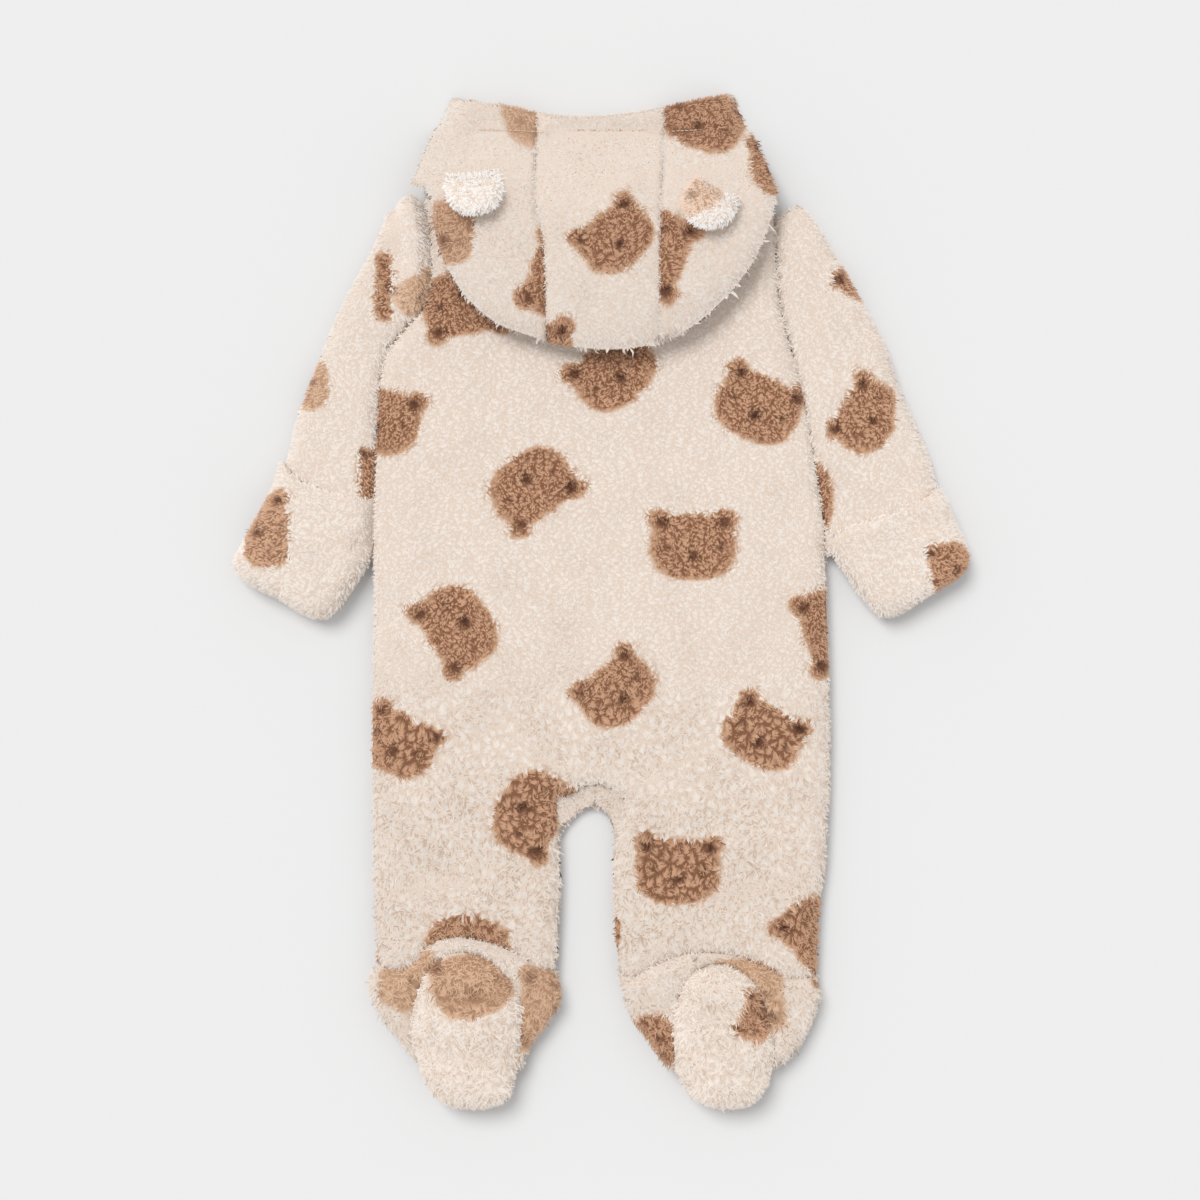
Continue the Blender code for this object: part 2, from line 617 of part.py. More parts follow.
def hood_nape():
    """What turns under at the pouch's fold and runs back up to the neck seam."""
    arc = np.vstack([along(LEFT.pouch), along(POUCH_MID), along(RIGHT.pouch)[::-1]])
    arc = moved(arc, -TUCK)
    arc = arc[arc[:, 1] < NAPE_EDGE_Y]
    upper = along(spots((arc[-1][0], NAPE_EDGE_Y), (arc[0][0], NAPE_EDGE_Y)))
    edges = [Edge(np.vstack([arc, upper[:1]]), **NAPE), Edge(upper, **PLAIN)]
    mesh = panel_mesh("hood_nape", edges, flat_at(NAPE_TOP), flat_at(NAPE_UNDER))
    add("hood_nape", mesh, FUR_UNDER)


def hood_cheek(half):
    """What turns under beside the face, down to the front's neckline."""
    outer = moved(along(half.edge), -half.turn * TUCK)[:-1]
    outer[0][1] = CHEEK_TOP_Y
    neck = moved(along(half.neck), half.turn * GAP)[::-1]
    face = along(half.face)
    top = along((half.face[-1], Spot(*outer[0])))
    edges = [Edge(np.vstack([outer, neck[:1]]), **FRONT_FOLD), Edge(neck, **PLAIN),
             Edge(face, **PLAIN), Edge(top, **PLAIN)]
    name = f"hood_cheek_{half.side}"
    add(name, panel_mesh(name, laid(edges, half.turn), flat_at(WALL), flat_at(0)), FUR_UNDER)


def ear(half):
    """Two layers sewn and turned, a puff whose root is at the top and whose tip hangs."""
    at = half.ear
    lean = math.radians(at.turn)
    end = math.asin(EAR_ROOT)
    turns = np.linspace(math.pi - end, 2 * math.pi + end, EAR_POINTS + 1)
    free = np.column_stack([at.half_wide * np.cos(turns), at.half_long * np.sin(turns)])
    root = np.linspace(free[-1], free[0], ROOT_POINTS + 1)
    turned = np.array([(math.cos(lean), math.sin(lean)), (-math.sin(lean), math.cos(lean))])

    def under(x, y):
        up = -(x - at.x) * math.sin(lean) + (y - at.y) * math.cos(lean)
        hang = np.clip((EAR_ROOT - up / at.half_long) / (1 + EAR_ROOT), 0, 1)
        return hood_top(x, y) + EAR_LIFT + EAR_DROOP * hang ** 2

    name = f"ear_{half.side}"
    edges = [Edge(free @ turned + (at.x, at.y), **EAR),
             Edge(root @ turned + (at.x, at.y), **EAR_SEAM)]
    mesh = panel_mesh(name, edges, lambda x, y: under(x, y) + EAR_THICK, under, EAR_FILL)
    add(name, mesh, FUR)


# ---- Feet ----

def foot(half):
    """The instep on the surface, the sole on top of it, and the band round the heel."""
    ends = (Spot(half.flank[-1].x, ANKLE_Y), Spot(half.inseam[0].x, ANKLE_Y))
    toe, heel = along(half.sole_toe), HEELS[half.side]
    instep = [Edge(along([ends[0]] + half.foot_outer[1:]), **FRONT_FOLD),
              Edge(moved(toe, -half.turn), **FRONT_FOLD),
              Edge(along(half.foot_inner[:-1] + [ends[1]]), **FRONT_FOLD),
              Edge(along(ends[::-1]), **PLAIN)]
    band = [Edge(along(half.foot_outer), **BAND),
            Edge(moved(heel, half.turn * GAP)[::-1], **BAND),
            Edge(along(half.foot_inner), **BAND),
            Edge(moved(ARCHES[half.side], half.turn * GAP)[::-1], **BAND)]
    sole = [Edge(toe, **PAD), Edge(heel, **PAD)]
    for name, edges, top, under, look in (
            ("foot_upper", instep, WALL, 0, FUR_UNDER),
            ("heel_band", band, BAND_TOP, SOLE_UNDER, FUR),
            ("sole", sole, SOLE_TOP, SOLE_UNDER, FUR)):
        name = f"{name}_{half.side}"
        mesh = panel_mesh(name, laid(edges, half.turn), with_folds(name, top), flat_at(under))
        add(name, mesh, look)


# ---- Zip ----

def block(name, size, centre):
    """A box of a size in millimetres about its centre."""
    bpy.ops.mesh.primitive_cube_add(size=1)
    made = bpy.context.object
    made.name = made.data.name = name
    for vertex in made.data.vertices:
        vertex.co = Vector([c * s * MM for c, s in zip(vertex.co, size)])
    made.location = Vector(centre) * MM
    return made


def joined(piece, other, operation="UNION"):
    """Join a block to a piece, or cut it out of the piece."""
    for old in other.users_collection:
        old.objects.unlink(other)
    CUTTERS.objects.link(other)
    other.hide_render = True
    other.display_type = "WIRE"
    change = piece.modifiers.new(other.name, "BOOLEAN")
    change.object = other
    change.operation = operation


def into_parts(piece, look):
    for old in piece.users_collection:
        old.objects.unlink(piece)
    PARTS.objects.link(piece)
    piece.data.materials.clear()
    piece.data.materials.append(look)


def zip_tape():
    """The woven tape between the fronts, with its closed coil raised along the middle."""
    long = ZIP_TOP_Y - ZIP_END_Y - GAP
    middle_y = (ZIP_TOP_Y + ZIP_END_Y + GAP) / 2
    wide = CHANNEL - 2 * GAP
    tape = block("zip_tape", (wide, long, TAPE_THICK),
                 (ZIP_X, middle_y, TAPE_UNDER + TAPE_THICK / 2))
    into_parts(tape, TAPE)
    coil = block("coil", (COIL_WIDE, long - 2, COIL_THICK + OVERLAP),
                 (ZIP_X, middle_y, TAPE_UNDER - (COIL_THICK - OVERLAP) / 2))
    joined(tape, coil)


def zip_slider():
    """The slider's body under the coil, with the bridge that holds the pull."""
    thick = SLIDER["top"] - SLIDER["under"]
    slider = block("zip_slider", (SLIDER["wide"], SLIDER["long"], thick),
                   (ZIP_X, HINGE_Y, SLIDER["under"] + thick / 2))
    into_parts(slider, ZINC)
    soft = slider.modifiers.new("rounded corners", "BEVEL")
    soft.width = CORNER * MM
    soft.segments = 2
    tall = SLIDER["under"] + OVERLAP - BRIDGE["under"]
    bridge = block("bridge", (BRIDGE["wide"], 2 * BRIDGE["half"], tall),
                   (ZIP_X, HINGE_Y, BRIDGE["under"] + tall / 2))
    joined(slider, bridge)
    clear = SLIDER["under"] - BRIDGE["top"]
    under_bridge = block("under_bridge", (2 * BRIDGE["wide"], 2 * BRIDGE["inner"], clear),
                         (ZIP_X, HINGE_Y, BRIDGE["top"] + clear / 2))
    joined(slider, under_bridge, "DIFFERENCE")


def zip_pull():
    """The pull: a flat tab whose end bar passes under the bridge and turns in it."""
    half, eye, bar = PULL["wide"] / 2, PULL["eye_wide"] / 2, PULL["bar"]
    turns = np.radians(np.linspace(180, 360, 13))
    tip = [(half * math.cos(t), half - PULL["long"] + half * math.sin(t)) for t in turns]
    rim = tip + [(half, bar), (-half, bar)]
    hole = [(-eye, -bar), (eye, -bar), (eye, -PULL["eye_end"]), (-eye, -PULL["eye_end"])]
    shape = bpy.data.curves.new("zip_pull", "CURVE")
    shape.dimensions = "2D"
    shape.fill_mode = "BOTH"
    shape.extrude = PULL["thick"] / 2 * MM
    for loop in (rim, hole):
        spline = shape.splines.new("POLY")
        spline.points.add(len(loop) - 1)
        spline.use_cyclic_u = True
        for point, (x, y) in zip(spline.points, loop):
            point.co = (x * MM, y * MM, 0, 1)
    pull = bpy.data.objects.new("zip_pull", shape)
    shape.materials.append(ZINC)
    pull.location = Vector((ZIP_X, HINGE_Y, HINGE_Z)) * MM
    PARTS.objects.link(pull)


def build():
    back_body()
    for half in HALVES:
        front(half)
        sleeve(half)
        mitt(half)
        hood_cheek(half)
        ear(half)
        foot(half)
    hood_nape()
    hood()
    zip_tape()
    zip_slider()
    zip_pull()


build()
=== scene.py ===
# %% [markdown]
# # A baby's faux fur pramsuit, laid on its front
#
# The suit is sewn from teddy fur: a thin knitted backing with a long, dense pile that
# curls into small tufts. The pile is the whole look of it, so this lesson is about fur:
# a thin cloth for each sewn piece, and on it a few hundred thousand short locks that a
# Geometry Nodes tree grows, gathers into tufts and lays down along the nap.
#
# The solid model gives each piece's form. It is loaded first and is never changed.

# %% The solid model
import math
from collections import namedtuple

import bmesh
import bpy
import numpy as np
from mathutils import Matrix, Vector, noise
from mathutils.bvhtree import BVHTree


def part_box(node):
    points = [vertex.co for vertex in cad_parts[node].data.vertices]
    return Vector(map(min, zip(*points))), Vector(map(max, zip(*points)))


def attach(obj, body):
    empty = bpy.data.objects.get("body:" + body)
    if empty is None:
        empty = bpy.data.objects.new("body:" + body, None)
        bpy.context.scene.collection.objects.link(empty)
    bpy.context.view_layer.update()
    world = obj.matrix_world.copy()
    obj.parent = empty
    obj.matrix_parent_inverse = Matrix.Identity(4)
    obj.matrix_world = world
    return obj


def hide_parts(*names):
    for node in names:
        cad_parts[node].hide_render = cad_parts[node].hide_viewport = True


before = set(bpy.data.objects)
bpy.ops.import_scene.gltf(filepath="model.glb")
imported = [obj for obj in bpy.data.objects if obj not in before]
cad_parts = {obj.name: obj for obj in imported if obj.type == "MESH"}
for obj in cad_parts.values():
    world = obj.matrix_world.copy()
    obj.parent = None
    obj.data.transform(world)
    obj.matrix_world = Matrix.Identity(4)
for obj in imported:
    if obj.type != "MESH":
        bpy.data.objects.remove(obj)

MM = 0.001
SUIT = "suit"
SCENE = bpy.context.scene
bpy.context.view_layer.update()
print("solid model:", len(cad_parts), "pieces")

# %% [markdown]
# ## Helpers for colours and nodes
#
# A colour is written as the hex value that a paint chart would give. Blender works with
# linear light, so one function turns it. Another adds any node with its settings and
# links, and three more write the kinds of node that are used most. The last ones start a
# Geometry Nodes tree, turn what such a tree makes of an object into a plain mesh, and
# close a skin over rings of points.

# %% Colours and nodes
def hex_colour(value):
    """A hex colour as linear red, green, blue and alpha."""
    parts = [int(value[i:i + 2], 16) / 255 for i in (1, 3, 5)]
    return tuple(c / 12.92 if c <= 0.04045 else ((c + 0.055) / 1.055) ** 2.4
                 for c in parts) + (1.0,)


def add_node(tree, kind, links=None, **settings):
    """Add a node. settings are its properties, links what goes into its inputs: a value,
    a socket, or a node, whose first output in use is taken."""
    made = tree.nodes.new(kind)
    for name, value in settings.items():
        setattr(made, name, value)
    for key, value in (links or {}).items():
        socket = made.inputs[key] if isinstance(key, int) else next(
            found for found in made.inputs if found.name == key and found.enabled)
        if isinstance(value, bpy.types.Node):
            value = next(found for found in value.outputs if found.enabled)
        if isinstance(value, bpy.types.NodeSocket):
            tree.links.new(value, socket)
        else:
            socket.default_value = value
    return made


def maths(tree, operation, *values):
    """A sum or another operation on numbers."""
    return add_node(tree, "ShaderNodeMath", dict(enumerate(values)), operation=operation)


def vectors(tree, operation, *values):
    """The same for vectors; SCALE takes a vector and a number."""
    keys = (0, "Scale") if operation == "SCALE" else range(len(values))
    return add_node(tree, "ShaderNodeVectorMath", dict(zip(keys, values)), operation=operation)


def chance(tree, low, high, seed, kind="FLOAT"):
    """A random value for each lock."""
    return add_node(tree, "FunctionNodeRandomValue", {"Min": low, "Max": high, "Seed": seed},
                    data_type=kind)


def new_material(name):
    """A material with its node tree and its Principled shader."""
    made = bpy.data.materials.new(name)
    made.use_nodes = True
    return made, made.node_tree, made.node_tree.nodes["Principled BSDF"]


def new_object(name, data):
    """An object of a mesh, a light or a camera, in the scene."""
    made = bpy.data.objects.new(name, data)
    SCENE.collection.objects.link(made)
    return made


def new_tree(name, inputs):
    """A Geometry Nodes tree, and its inputs by name."""
    tree = bpy.data.node_groups.new(name, "GeometryNodeTree")
    for label, kind in inputs:
        tree.interface.new_socket(label, in_out="INPUT", socket_type="NodeSocket" + kind)
    tree.interface.new_socket("Made", in_out="OUTPUT", socket_type="NodeSocketGeometry")
    return tree, add_node(tree, "NodeGroupInput").outputs


def applied(host, tree, values):
    """What a tree makes of an object, with these inputs, as a plain mesh."""
    sockets = {item.name: item.identifier for item in tree.interface.items_tree
               if item.in_out == "INPUT"}
    modifier = host.modifiers.new(tree.name, "NODES")
    modifier.node_group = tree
    for name, value in values.items():
        modifier[sockets[name]] = value
    graph = bpy.context.evaluated_depsgraph_get()
    mesh = bpy.data.meshes.new_from_object(host.evaluated_get(graph), depsgraph=graph)
    host.modifiers.remove(modifier)
    return mesh


def skin(shape, rings, closed=False):
    """Faces between rings of points, and over both ends unless the rings close."""
    for ring, after in zip(rings, rings[1:] + rings[:1] if closed else rings[1:]):
        for i in range(len(ring)):
            shape.faces.new((ring[i - 1], ring[i], after[i], after[i - 1]))
    if not closed:
        shape.faces.new(rings[0])
        shape.faces.new(rings[-1])


def from_shape(name, shape):
    """An object of a finished shape, its faces outwards."""
    bmesh.ops.recalc_face_normals(shape, faces=shape.faces)
    mesh = bpy.data.meshes.new(name)
    shape.to_mesh(mesh)
    shape.free()
    return new_object(name, mesh)


# %% [markdown]
# ## Camera, floor and light
#
# The suit is photographed from straight above on pale grey paper, in soft daylight from
# the upper left. One pixel of a 1200 pixel frame is 0.66 mm at the height of the cloth.

# %% Camera
PX = 0.66 * MM          # one pixel of the photograph's frame
MIDDLE_PX = (601, 602)  # the pixel over the model's origin
FRAME_PX = 1200
CLOTH_HEIGHT = 12 * MM  # where that scale holds
LENS = 85.0


def at_pixel(px, py):
    """The place on the surface under a pixel of the photograph's frame."""
    return np.array([(px - MIDDLE_PX[0]) * PX, (MIDDLE_PX[1] - py) * PX])


camera = new_object("camera", bpy.data.cameras.new("camera"))
SCENE.camera = camera
camera.data.lens = LENS
camera.data.sensor_width = 36.0
camera_distance = FRAME_PX * PX * LENS / camera.data.sensor_width
middle = at_pixel(FRAME_PX / 2, FRAME_PX / 2)
camera.location = (*middle, CLOTH_HEIGHT + camera_distance)
print("camera", round(camera_distance, 3), "m above the cloth")

# %% Floor and light
FLOOR_SIZE = 40.0
PAPER = "#D5D5D5"
WINDOW = (-0.45, 0.66, 1.05)    # where the daylight comes from
WINDOW_WIDTH = 30               # degrees of sky that the window takes up
WINDOW_LIGHT, ROOM_LIGHT = 2.1, 0.76
CLEAR = 0.2 * MM                # the floor is this far below what rests on it

paper, _, shader = new_material("matt_paper")
shader.inputs["Base Color"].default_value = hex_colour(PAPER)
shader.inputs["Roughness"].default_value = 0.9
shader.inputs["Specular IOR Level"].default_value = 0.1
floor_mesh = bpy.data.meshes.new("floor")
half = FLOOR_SIZE / 2
floor_mesh.from_pydata([(-half, -half, 0), (half, -half, 0), (half, half, 0), (-half, half, 0)],
                       [], [(0, 1, 2, 3)])
floor_mesh.materials.append(paper)
floor = new_object("floor", floor_mesh)
floor.location.z = -CLEAR

window = new_object("window", bpy.data.lights.new("window", "SUN"))
window.data.energy = WINDOW_LIGHT
window.data.angle = math.radians(WINDOW_WIDTH)
window.rotation_euler = (-Vector(WINDOW)).to_track_quat("-Z", "Y").to_euler()
world = bpy.data.worlds.new("room")
SCENE.world = world
world.use_nodes = True
world.node_tree.nodes["Background"].inputs["Color"].default_value = hex_colour("#FFFFFF")
world.node_tree.nodes["Background"].inputs["Strength"].default_value = ROOM_LIGHT
SCENE.view_settings.view_transform = "Standard"

# %% [markdown]
# ## The print
#
# The cloth is printed with small heads of a bear, all one drawing in many turns: a
# rounded head, two ears with a dark inside, two eyes and a nose. It is drawn by distance:
# a point is inside a shape when its distance from it is negative, and the distance also
# gives a feathered edge, as a print on long pile has. Each motif is a row of a table:
# where its middle is, its turn, its size, where a fold or seam hides it on the left and
# right, and how pale it is. Each cut piece has its own rows, so that the print breaks
# off at a seam, as it does in the real suit.

# %% The bear's head
Motif = namedtuple("Motif", "px py turn scale left right pale",
                   defaults=(1.0, 0, FRAME_PX, 0.0))
HEAD = (28.0, 21.5)     # half width and half height, in mm
EAR = (22.0, 18.5, 7.2)  # an ear's place beside the middle, above it, and its radius
INNER_EAR = (20.5, 16.5, 3.6)
EYE = (17.0, 0.5, 1.8)
NOSE = (0.0, -5.0, 3.6)
FEATHER = 2.2           # over how many mm the print fades into the cream
SOFT_DARK = 3.6         # and the dark spots into the brown
SQUARE = (3.4, 2.5)     # how square the head is, above its middle and below
DRAWN_TO = 50           # nothing of it is further from its middle, in mm


def fading(distance, feather):
    """1 well inside a shape, 0 well outside, for a distance in mm."""
    return np.clip(0.5 - distance / feather, 0, 1)


def bear(u, v):
    """How brown and how dark the print is at points of the drawing, in mm."""
    side = np.abs(u)
    power = np.where(v > 0, *SQUARE)
    round_head = ((side / HEAD[0]) ** power + (np.abs(v) / HEAD[1]) ** power) ** (1 / power)
    brown = fading((round_head - 1) * HEAD[1], FEATHER)
    brown = np.maximum(brown, fading(np.hypot(side - EAR[0], v - EAR[1]) - EAR[2], FEATHER))
    dark = np.zeros_like(brown)
    for x, y, radius in (INNER_EAR, EYE, NOSE):
        spot = fading(np.hypot(side - x, v - y) - radius, SOFT_DARK)
        dark = np.maximum(dark, spot)
    return brown, dark


# %% Where the motifs are
MOTIFS = {    # the middle, the turn in degrees, and more where it isn't whole or plain
    "hood_side_left": ((546, 112, 20, 1.0, 0, FRAME_PX, 0.4), (446, 236, 8, 1.0, 436, 476, 0.2),
        (563, 280, 70)),
    "hood_centre": ((616, 243, 39, 0.9), (531, 358, 0)),
    "hood_side_right": ((702, 118, -28), (792, 168, 5), (653, 256, -112)),
    "ear_right": ((689, 196, 20, 0.8, 0, FRAME_PX, 0.45),),
    "back_body": ((465, 302, 190), (615, 372, 42), (757, 408, -25), (378, 420, -15),
        (531, 485, -144), (693, 547, 0), (459, 626, 123), (836, 628, 108), (618, 691, 40, 0.92),
        (762, 735, -30, 0.93), (397, 743, -29, 0.92), (530, 811, -120), (677, 870, -3),
        (468, 948, 176), (822, 935, 130), (601, 934, 90, 0.62), (741, 992, 176),
        (346, 968, 85)),
    "sleeve_left": ((384, 287, 84, 0.8, 376, 392), (418, 295, 30, 0.55, 393, 430, 0.45),
        (308, 382, 95, 0.66, 303, 332, 0.35), (376, 475, 80, 0.6, 361, 380)),
    "sleeve_right": ((868, 268, 60, 0.8, 832, 900), (867, 417, 58, 0.87, 826, 894),
        (800, 500, 90)),
    "mitt_left": ((266, 532, -75, 0.85, 247, 290, 0.1),),
    "mitt_right": ((950, 570, 104, 0.66, 925, 968),),
    "sole_left": ((473, 983, 14, 0.95, 425, 520, 0.25), (560, 1040, 80, 1.0, 519, 560, 0.3)),
    "sole_right": ((757, 1015, 70, 0.55),),
    "heel_band_left": ((408, 976, 62, 0.8, 380, 440, 0.4), (552, 1010, 84, 1.0, 519, 600, 0.3)),
    "heel_band_right": ((656, 1038, 120, 0.65), (742, 990, 180, 1.0, 700, 784, 0.4),
        (822, 935, 130)),
}
UNDER_STEP = (148, 132)  # spacing of the motifs underneath, in pixels
UNDER_SEED = 4
lattice = np.random.default_rng(UNDER_SEED)
MOTIFS["under"] = []
for row, py in enumerate(range(110, 1140, UNDER_STEP[1])):
    for px in range(230 + (row % 2) * UNDER_STEP[0] // 2, 1000, UNDER_STEP[0]):
        turn, slip_x, slip_y = lattice.uniform((-180, -14, -14), (180, 14, 14))
        MOTIFS["under"].append((px + slip_x, py + slip_y, turn))
print(sum(map(len, MOTIFS.values())), "motifs")


def printed(points, piece):
    """How brown and how dark a cut piece's print is at points seen from above."""
    brown, dark = np.zeros((2, len(points)))
    for motif in (Motif(*row) for row in MOTIFS.get(piece, ())):
        offset = (points - at_pixel(motif.px, motif.py)) / (MM * motif.scale)
        low, high = at_pixel(motif.left, 0)[0], at_pixel(motif.right, 0)[0]
        near = (np.abs(offset).max(axis=1) < DRAWN_TO) & (points[:, 0] > low)
        near &= points[:, 0] < high
        if not near.any():
            continue
        turn = math.radians(motif.turn)
        x, y = offset[near].T
        shade = bear(x * math.cos(turn) + y * math.sin(turn),
                     y * math.cos(turn) - x * math.sin(turn))
        brown[near] = np.maximum(brown[near], shade[0] * (1 - motif.pale))
        dark[near] = np.maximum(dark[near], shade[1] * (1 - motif.pale))
    return brown, dark


UNDER_SLIP = 0.4        # of the repeat, by which each piece's print is out of line
UNDER_TURN = 2.4        # radians from the way that one piece slips to the next one's


def printed_below(points, cut):
    """The print underneath: each cut piece takes a part of the repeat of its own."""
    turn = UNDER_TURN * CUTS.index(cut)
    slip = np.array([math.sin(turn), math.cos(turn)]) * UNDER_STEP[0] * PX * UNDER_SLIP
    return printed(points + slip, "under")


# %% [markdown]
# ## The knitted backing
#
# Under the pile is a thin knit. Each sewn piece of it follows its solid, drawn in from
# the side that the pile grows on: the solids reach as far as the fur does. A copy of the
# solid's mesh is merged, cut finer and moved in along its normals, by the pile's depth
# where fur grows and by almost nothing where another layer lies on it.

# %% Cut pieces
Cut = namedtuple("Cut", "node nap flat area on")
PILE = 2.4 * MM         # depth of the pile, from a solid's face down to the cloth
SKIN = 0.25 * MM        # from a solid's face to the cloth where no fur grows
EDGE_LENGTH = 9 * MM
SPLITS = 5              # rounds of cutting long edges in halves
SLIVER = 0.7 * MM       # points nearer than this are merged
SAME = 0.01 * MM        # and so are points that stand for one corner
FLAT_ANGLE = 3          # degrees; across flatter edges the triangles are evened out
ABOVE_FLOOR = 0.25 * MM
WHOLE = ((-1.0, 1.0),)
BANDS = {"back_body": ((-1.0, -0.06), (-0.06, 0.08), (0.08, 1.0))}  # for smaller meshes
BLEND = 0.03            # metres over which one band's pile passes into the next
LOOSE = {"hood": 1.25, "ear": 1.45, "mitt": 1.15, "sole": 1.2, "heel": 1.2, "sleeve": 1.1}
JOINED = 0.11 * MM      # sewn edges meet, where the solids leave a gap
UNDER_SLOPE = -0.7      # a face that looks further down than this is of the underside
# The knit shows only between the locks, so it is painted a little darker: painted shade
KNIT_TONE = 0.97
KNIT_DEPTH = 0.3        # the knit is painted in the pile's darker root colour, as painted shade from the pile over it

CUTS = [Cut(*row) for row in (
    # node, nap, flat size, area, what it lies on
    ("back_body", (0, -1), (0.305, 0.516), 0.131, "front_left"),
    ("front_left", (0, -1), (0.149, 0.507), 0.063, "floor"),
    ("front_right", (0, -1), (0.157, 0.505), 0.067, "floor"),
    ("sleeve_left", (-0.35, -1), (0.13, 0.218), 0.022, "floor"),
    ("sleeve_right", (0.35, -1), (0.15, 0.235), 0.028, "floor"),
    ("mitt_left", (-1, -0.3), (0.15, 0.107), 0.0125, "floor"),
    ("mitt_right", (1, -0.3), (0.15, 0.088), 0.0105, "floor"),
    ("hood_centre", (0, -1), (0.085, 0.168), 0.0140, "hood_nape"),
    ("hood_side_left", (-0.6, -1), (0.09, 0.17), 0.0118, "hood_nape"),
    ("hood_side_right", (0.6, -1), (0.08, 0.17), 0.0112, "hood_nape"),
    ("hood_nape", (0, -1), (0.215, 0.085), 0.0145, "back_body"),
    ("hood_cheek_left", (0, -1), (0.11, 0.066), 0.0042, "floor"),
    ("hood_cheek_right", (0, -1), (0.111, 0.067), 0.0042, "floor"),
    ("ear_left", (0.1, -1), (0.042, 0.034), 0.00125, "hood_side_left"),
    ("ear_right", (-0.5, -1), (0.04, 0.038), 0.00118, "hood_side_right"),
    ("foot_upper_left", (0, -1), (0.13, 0.096), 0.0091, "floor"),
    ("foot_upper_right", (0, -1), (0.136, 0.096), 0.0098, "floor"),
    ("heel_band_left", (0, -1), (0.128, 0.088), 0.0046, "foot_upper_left"),
    ("heel_band_right", (0, -1), (0.136, 0.08), 0.0055, "foot_upper_right"),
    ("sole_left", (0, -1), (0.074, 0.106), 0.0064, "foot_upper_left"),
    ("sole_right", (0, -1), (0.067, 0.099), 0.0055, "foot_upper_right"),
)]


def split_long_edges(shape, longest):
    """Cut a mesh's edges in halves until none is longer than this."""
    for _ in range(SPLITS):
        long = [e for e in shape.edges if e.calc_length() > longest]
        if not long:
            return
        bmesh.ops.subdivide_edges(shape, edges=long, cuts=1)
        bmesh.ops.triangulate(shape, faces=[f for f in shape.faces if len(f.verts) > 3])


def store(mesh, name, values):
    """Keep a number or a vector for each point of a mesh."""
    kind = "FLOAT" if values.ndim == 1 else "FLOAT_VECTOR"
    layer = mesh.attributes.get(name) or mesh.attributes.new(name, kind, "POINT")
    layer.data.foreach_set("value" if values.ndim == 1 else "vector",
                           np.ascontiguousarray(values, np.float32).ravel())


def stored(mesh, name, width=1):
    """What store kept, as an array."""
    values = np.empty(len(mesh.vertices) * width, np.float32)
    mesh.attributes[name].data.foreach_get("value" if width == 1 else "vector", values)
    return values.reshape(-1, width) if width > 1 else values


def places(mesh):
    co = np.empty(len(mesh.vertices) * 3, np.float32)
    mesh.vertices.foreach_get("co", co)
    return co.reshape(-1, 3).astype(float)


def normals(mesh):
    found = np.empty(len(mesh.vertices) * 3, np.float32)
    mesh.vertex_normals.foreach_get("vector", found)
    return found.reshape(-1, 3).astype(float)


# %% What lies on what
COVERED = (4 * MM, 9.5 * MM)    # no fur grows where another layer is nearer, at the
                                # side of a piece and above or below it
STEEP = (0.3, 0.8)      # the slopes between which the first passes into the second
START = 0.05 * MM       # rays start this far from the face
NOTHING = 1.0           # stands for no hit
THICKEST = 30 * MM
THIN_SHARE = 0.3        # of a thin piece, that the cloth is drawn in at the most
RIM_SIDE = 0.6          # a rim that looks this far sideways grows fur into a gap beside it
RIM = 0.25              # a rounded rim that looks up more than this carries fur over a seam


def everything():
    """All solids in one tree, to ask what is near a point."""
    corners, faces = [], []
    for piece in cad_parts.values():
        faces += [[len(corners) + i for i in face.vertices] for face in piece.data.polygons]
        corners += [vertex.co.copy() for vertex in piece.data.vertices]
    return BVHTree.FromPolygons(corners, faces)


solids = everything()


def room(point, way, reach):
    """How far the nearest solid is from each point along a direction, up to reach."""
    found = (solids.ray_cast(Vector(p + w * START), Vector(w), r)[3]
             for p, w, r in zip(point, way, np.broadcast_to(reach, len(point))))
    return np.array([NOTHING if distance is None else distance for distance in found])


def sideways(way):
    """The level part of each direction, a unit long, and how long it was."""
    level = way * np.array([1, 1, 0])
    length = np.linalg.norm(level, axis=1)
    return level / np.maximum(length, 1e-6)[:, None], length


def open_air(point, way):
    """1 where fur can grow, 0 where other layers cover a point from above and beside."""
    slope = np.abs(way[:, 2])
    steeper = way + np.array([0, 0, 1]) * (np.sign(way[:, 2]) * (slope > RIM))[:, None]
    steeper /= np.linalg.norm(steeper, axis=1)[:, None]
    above = room(point, steeper, np.interp(slope, STEEP, COVERED)) == NOTHING
    level, length = sideways(way)
    beside = (room(point, level, COVERED[0]) == NOTHING) & (length > RIM_SIDE)
    return (above | beside).astype(float)


def drawn_in(point, way, depth):
    """Where the cloth lies: inside the solid by the pile's depth, straight down beside
    a neighbour that it is sewn to, and never further than a share of the thickness."""
    thick = room(point, -way, THICKEST)
    depth = np.minimum(depth, np.where(thick == NOTHING, THICKEST, thick) * THIN_SHARE)
    level, length = sideways(way)
    beside = (length > RIM) & (room(point, level, COVERED[0]) < NOTHING)
    straight = way * np.array([0, 0, 1]) * depth[:, None] - level * JOINED
    return point - np.where(beside[:, None], straight, way * depth[:, None])


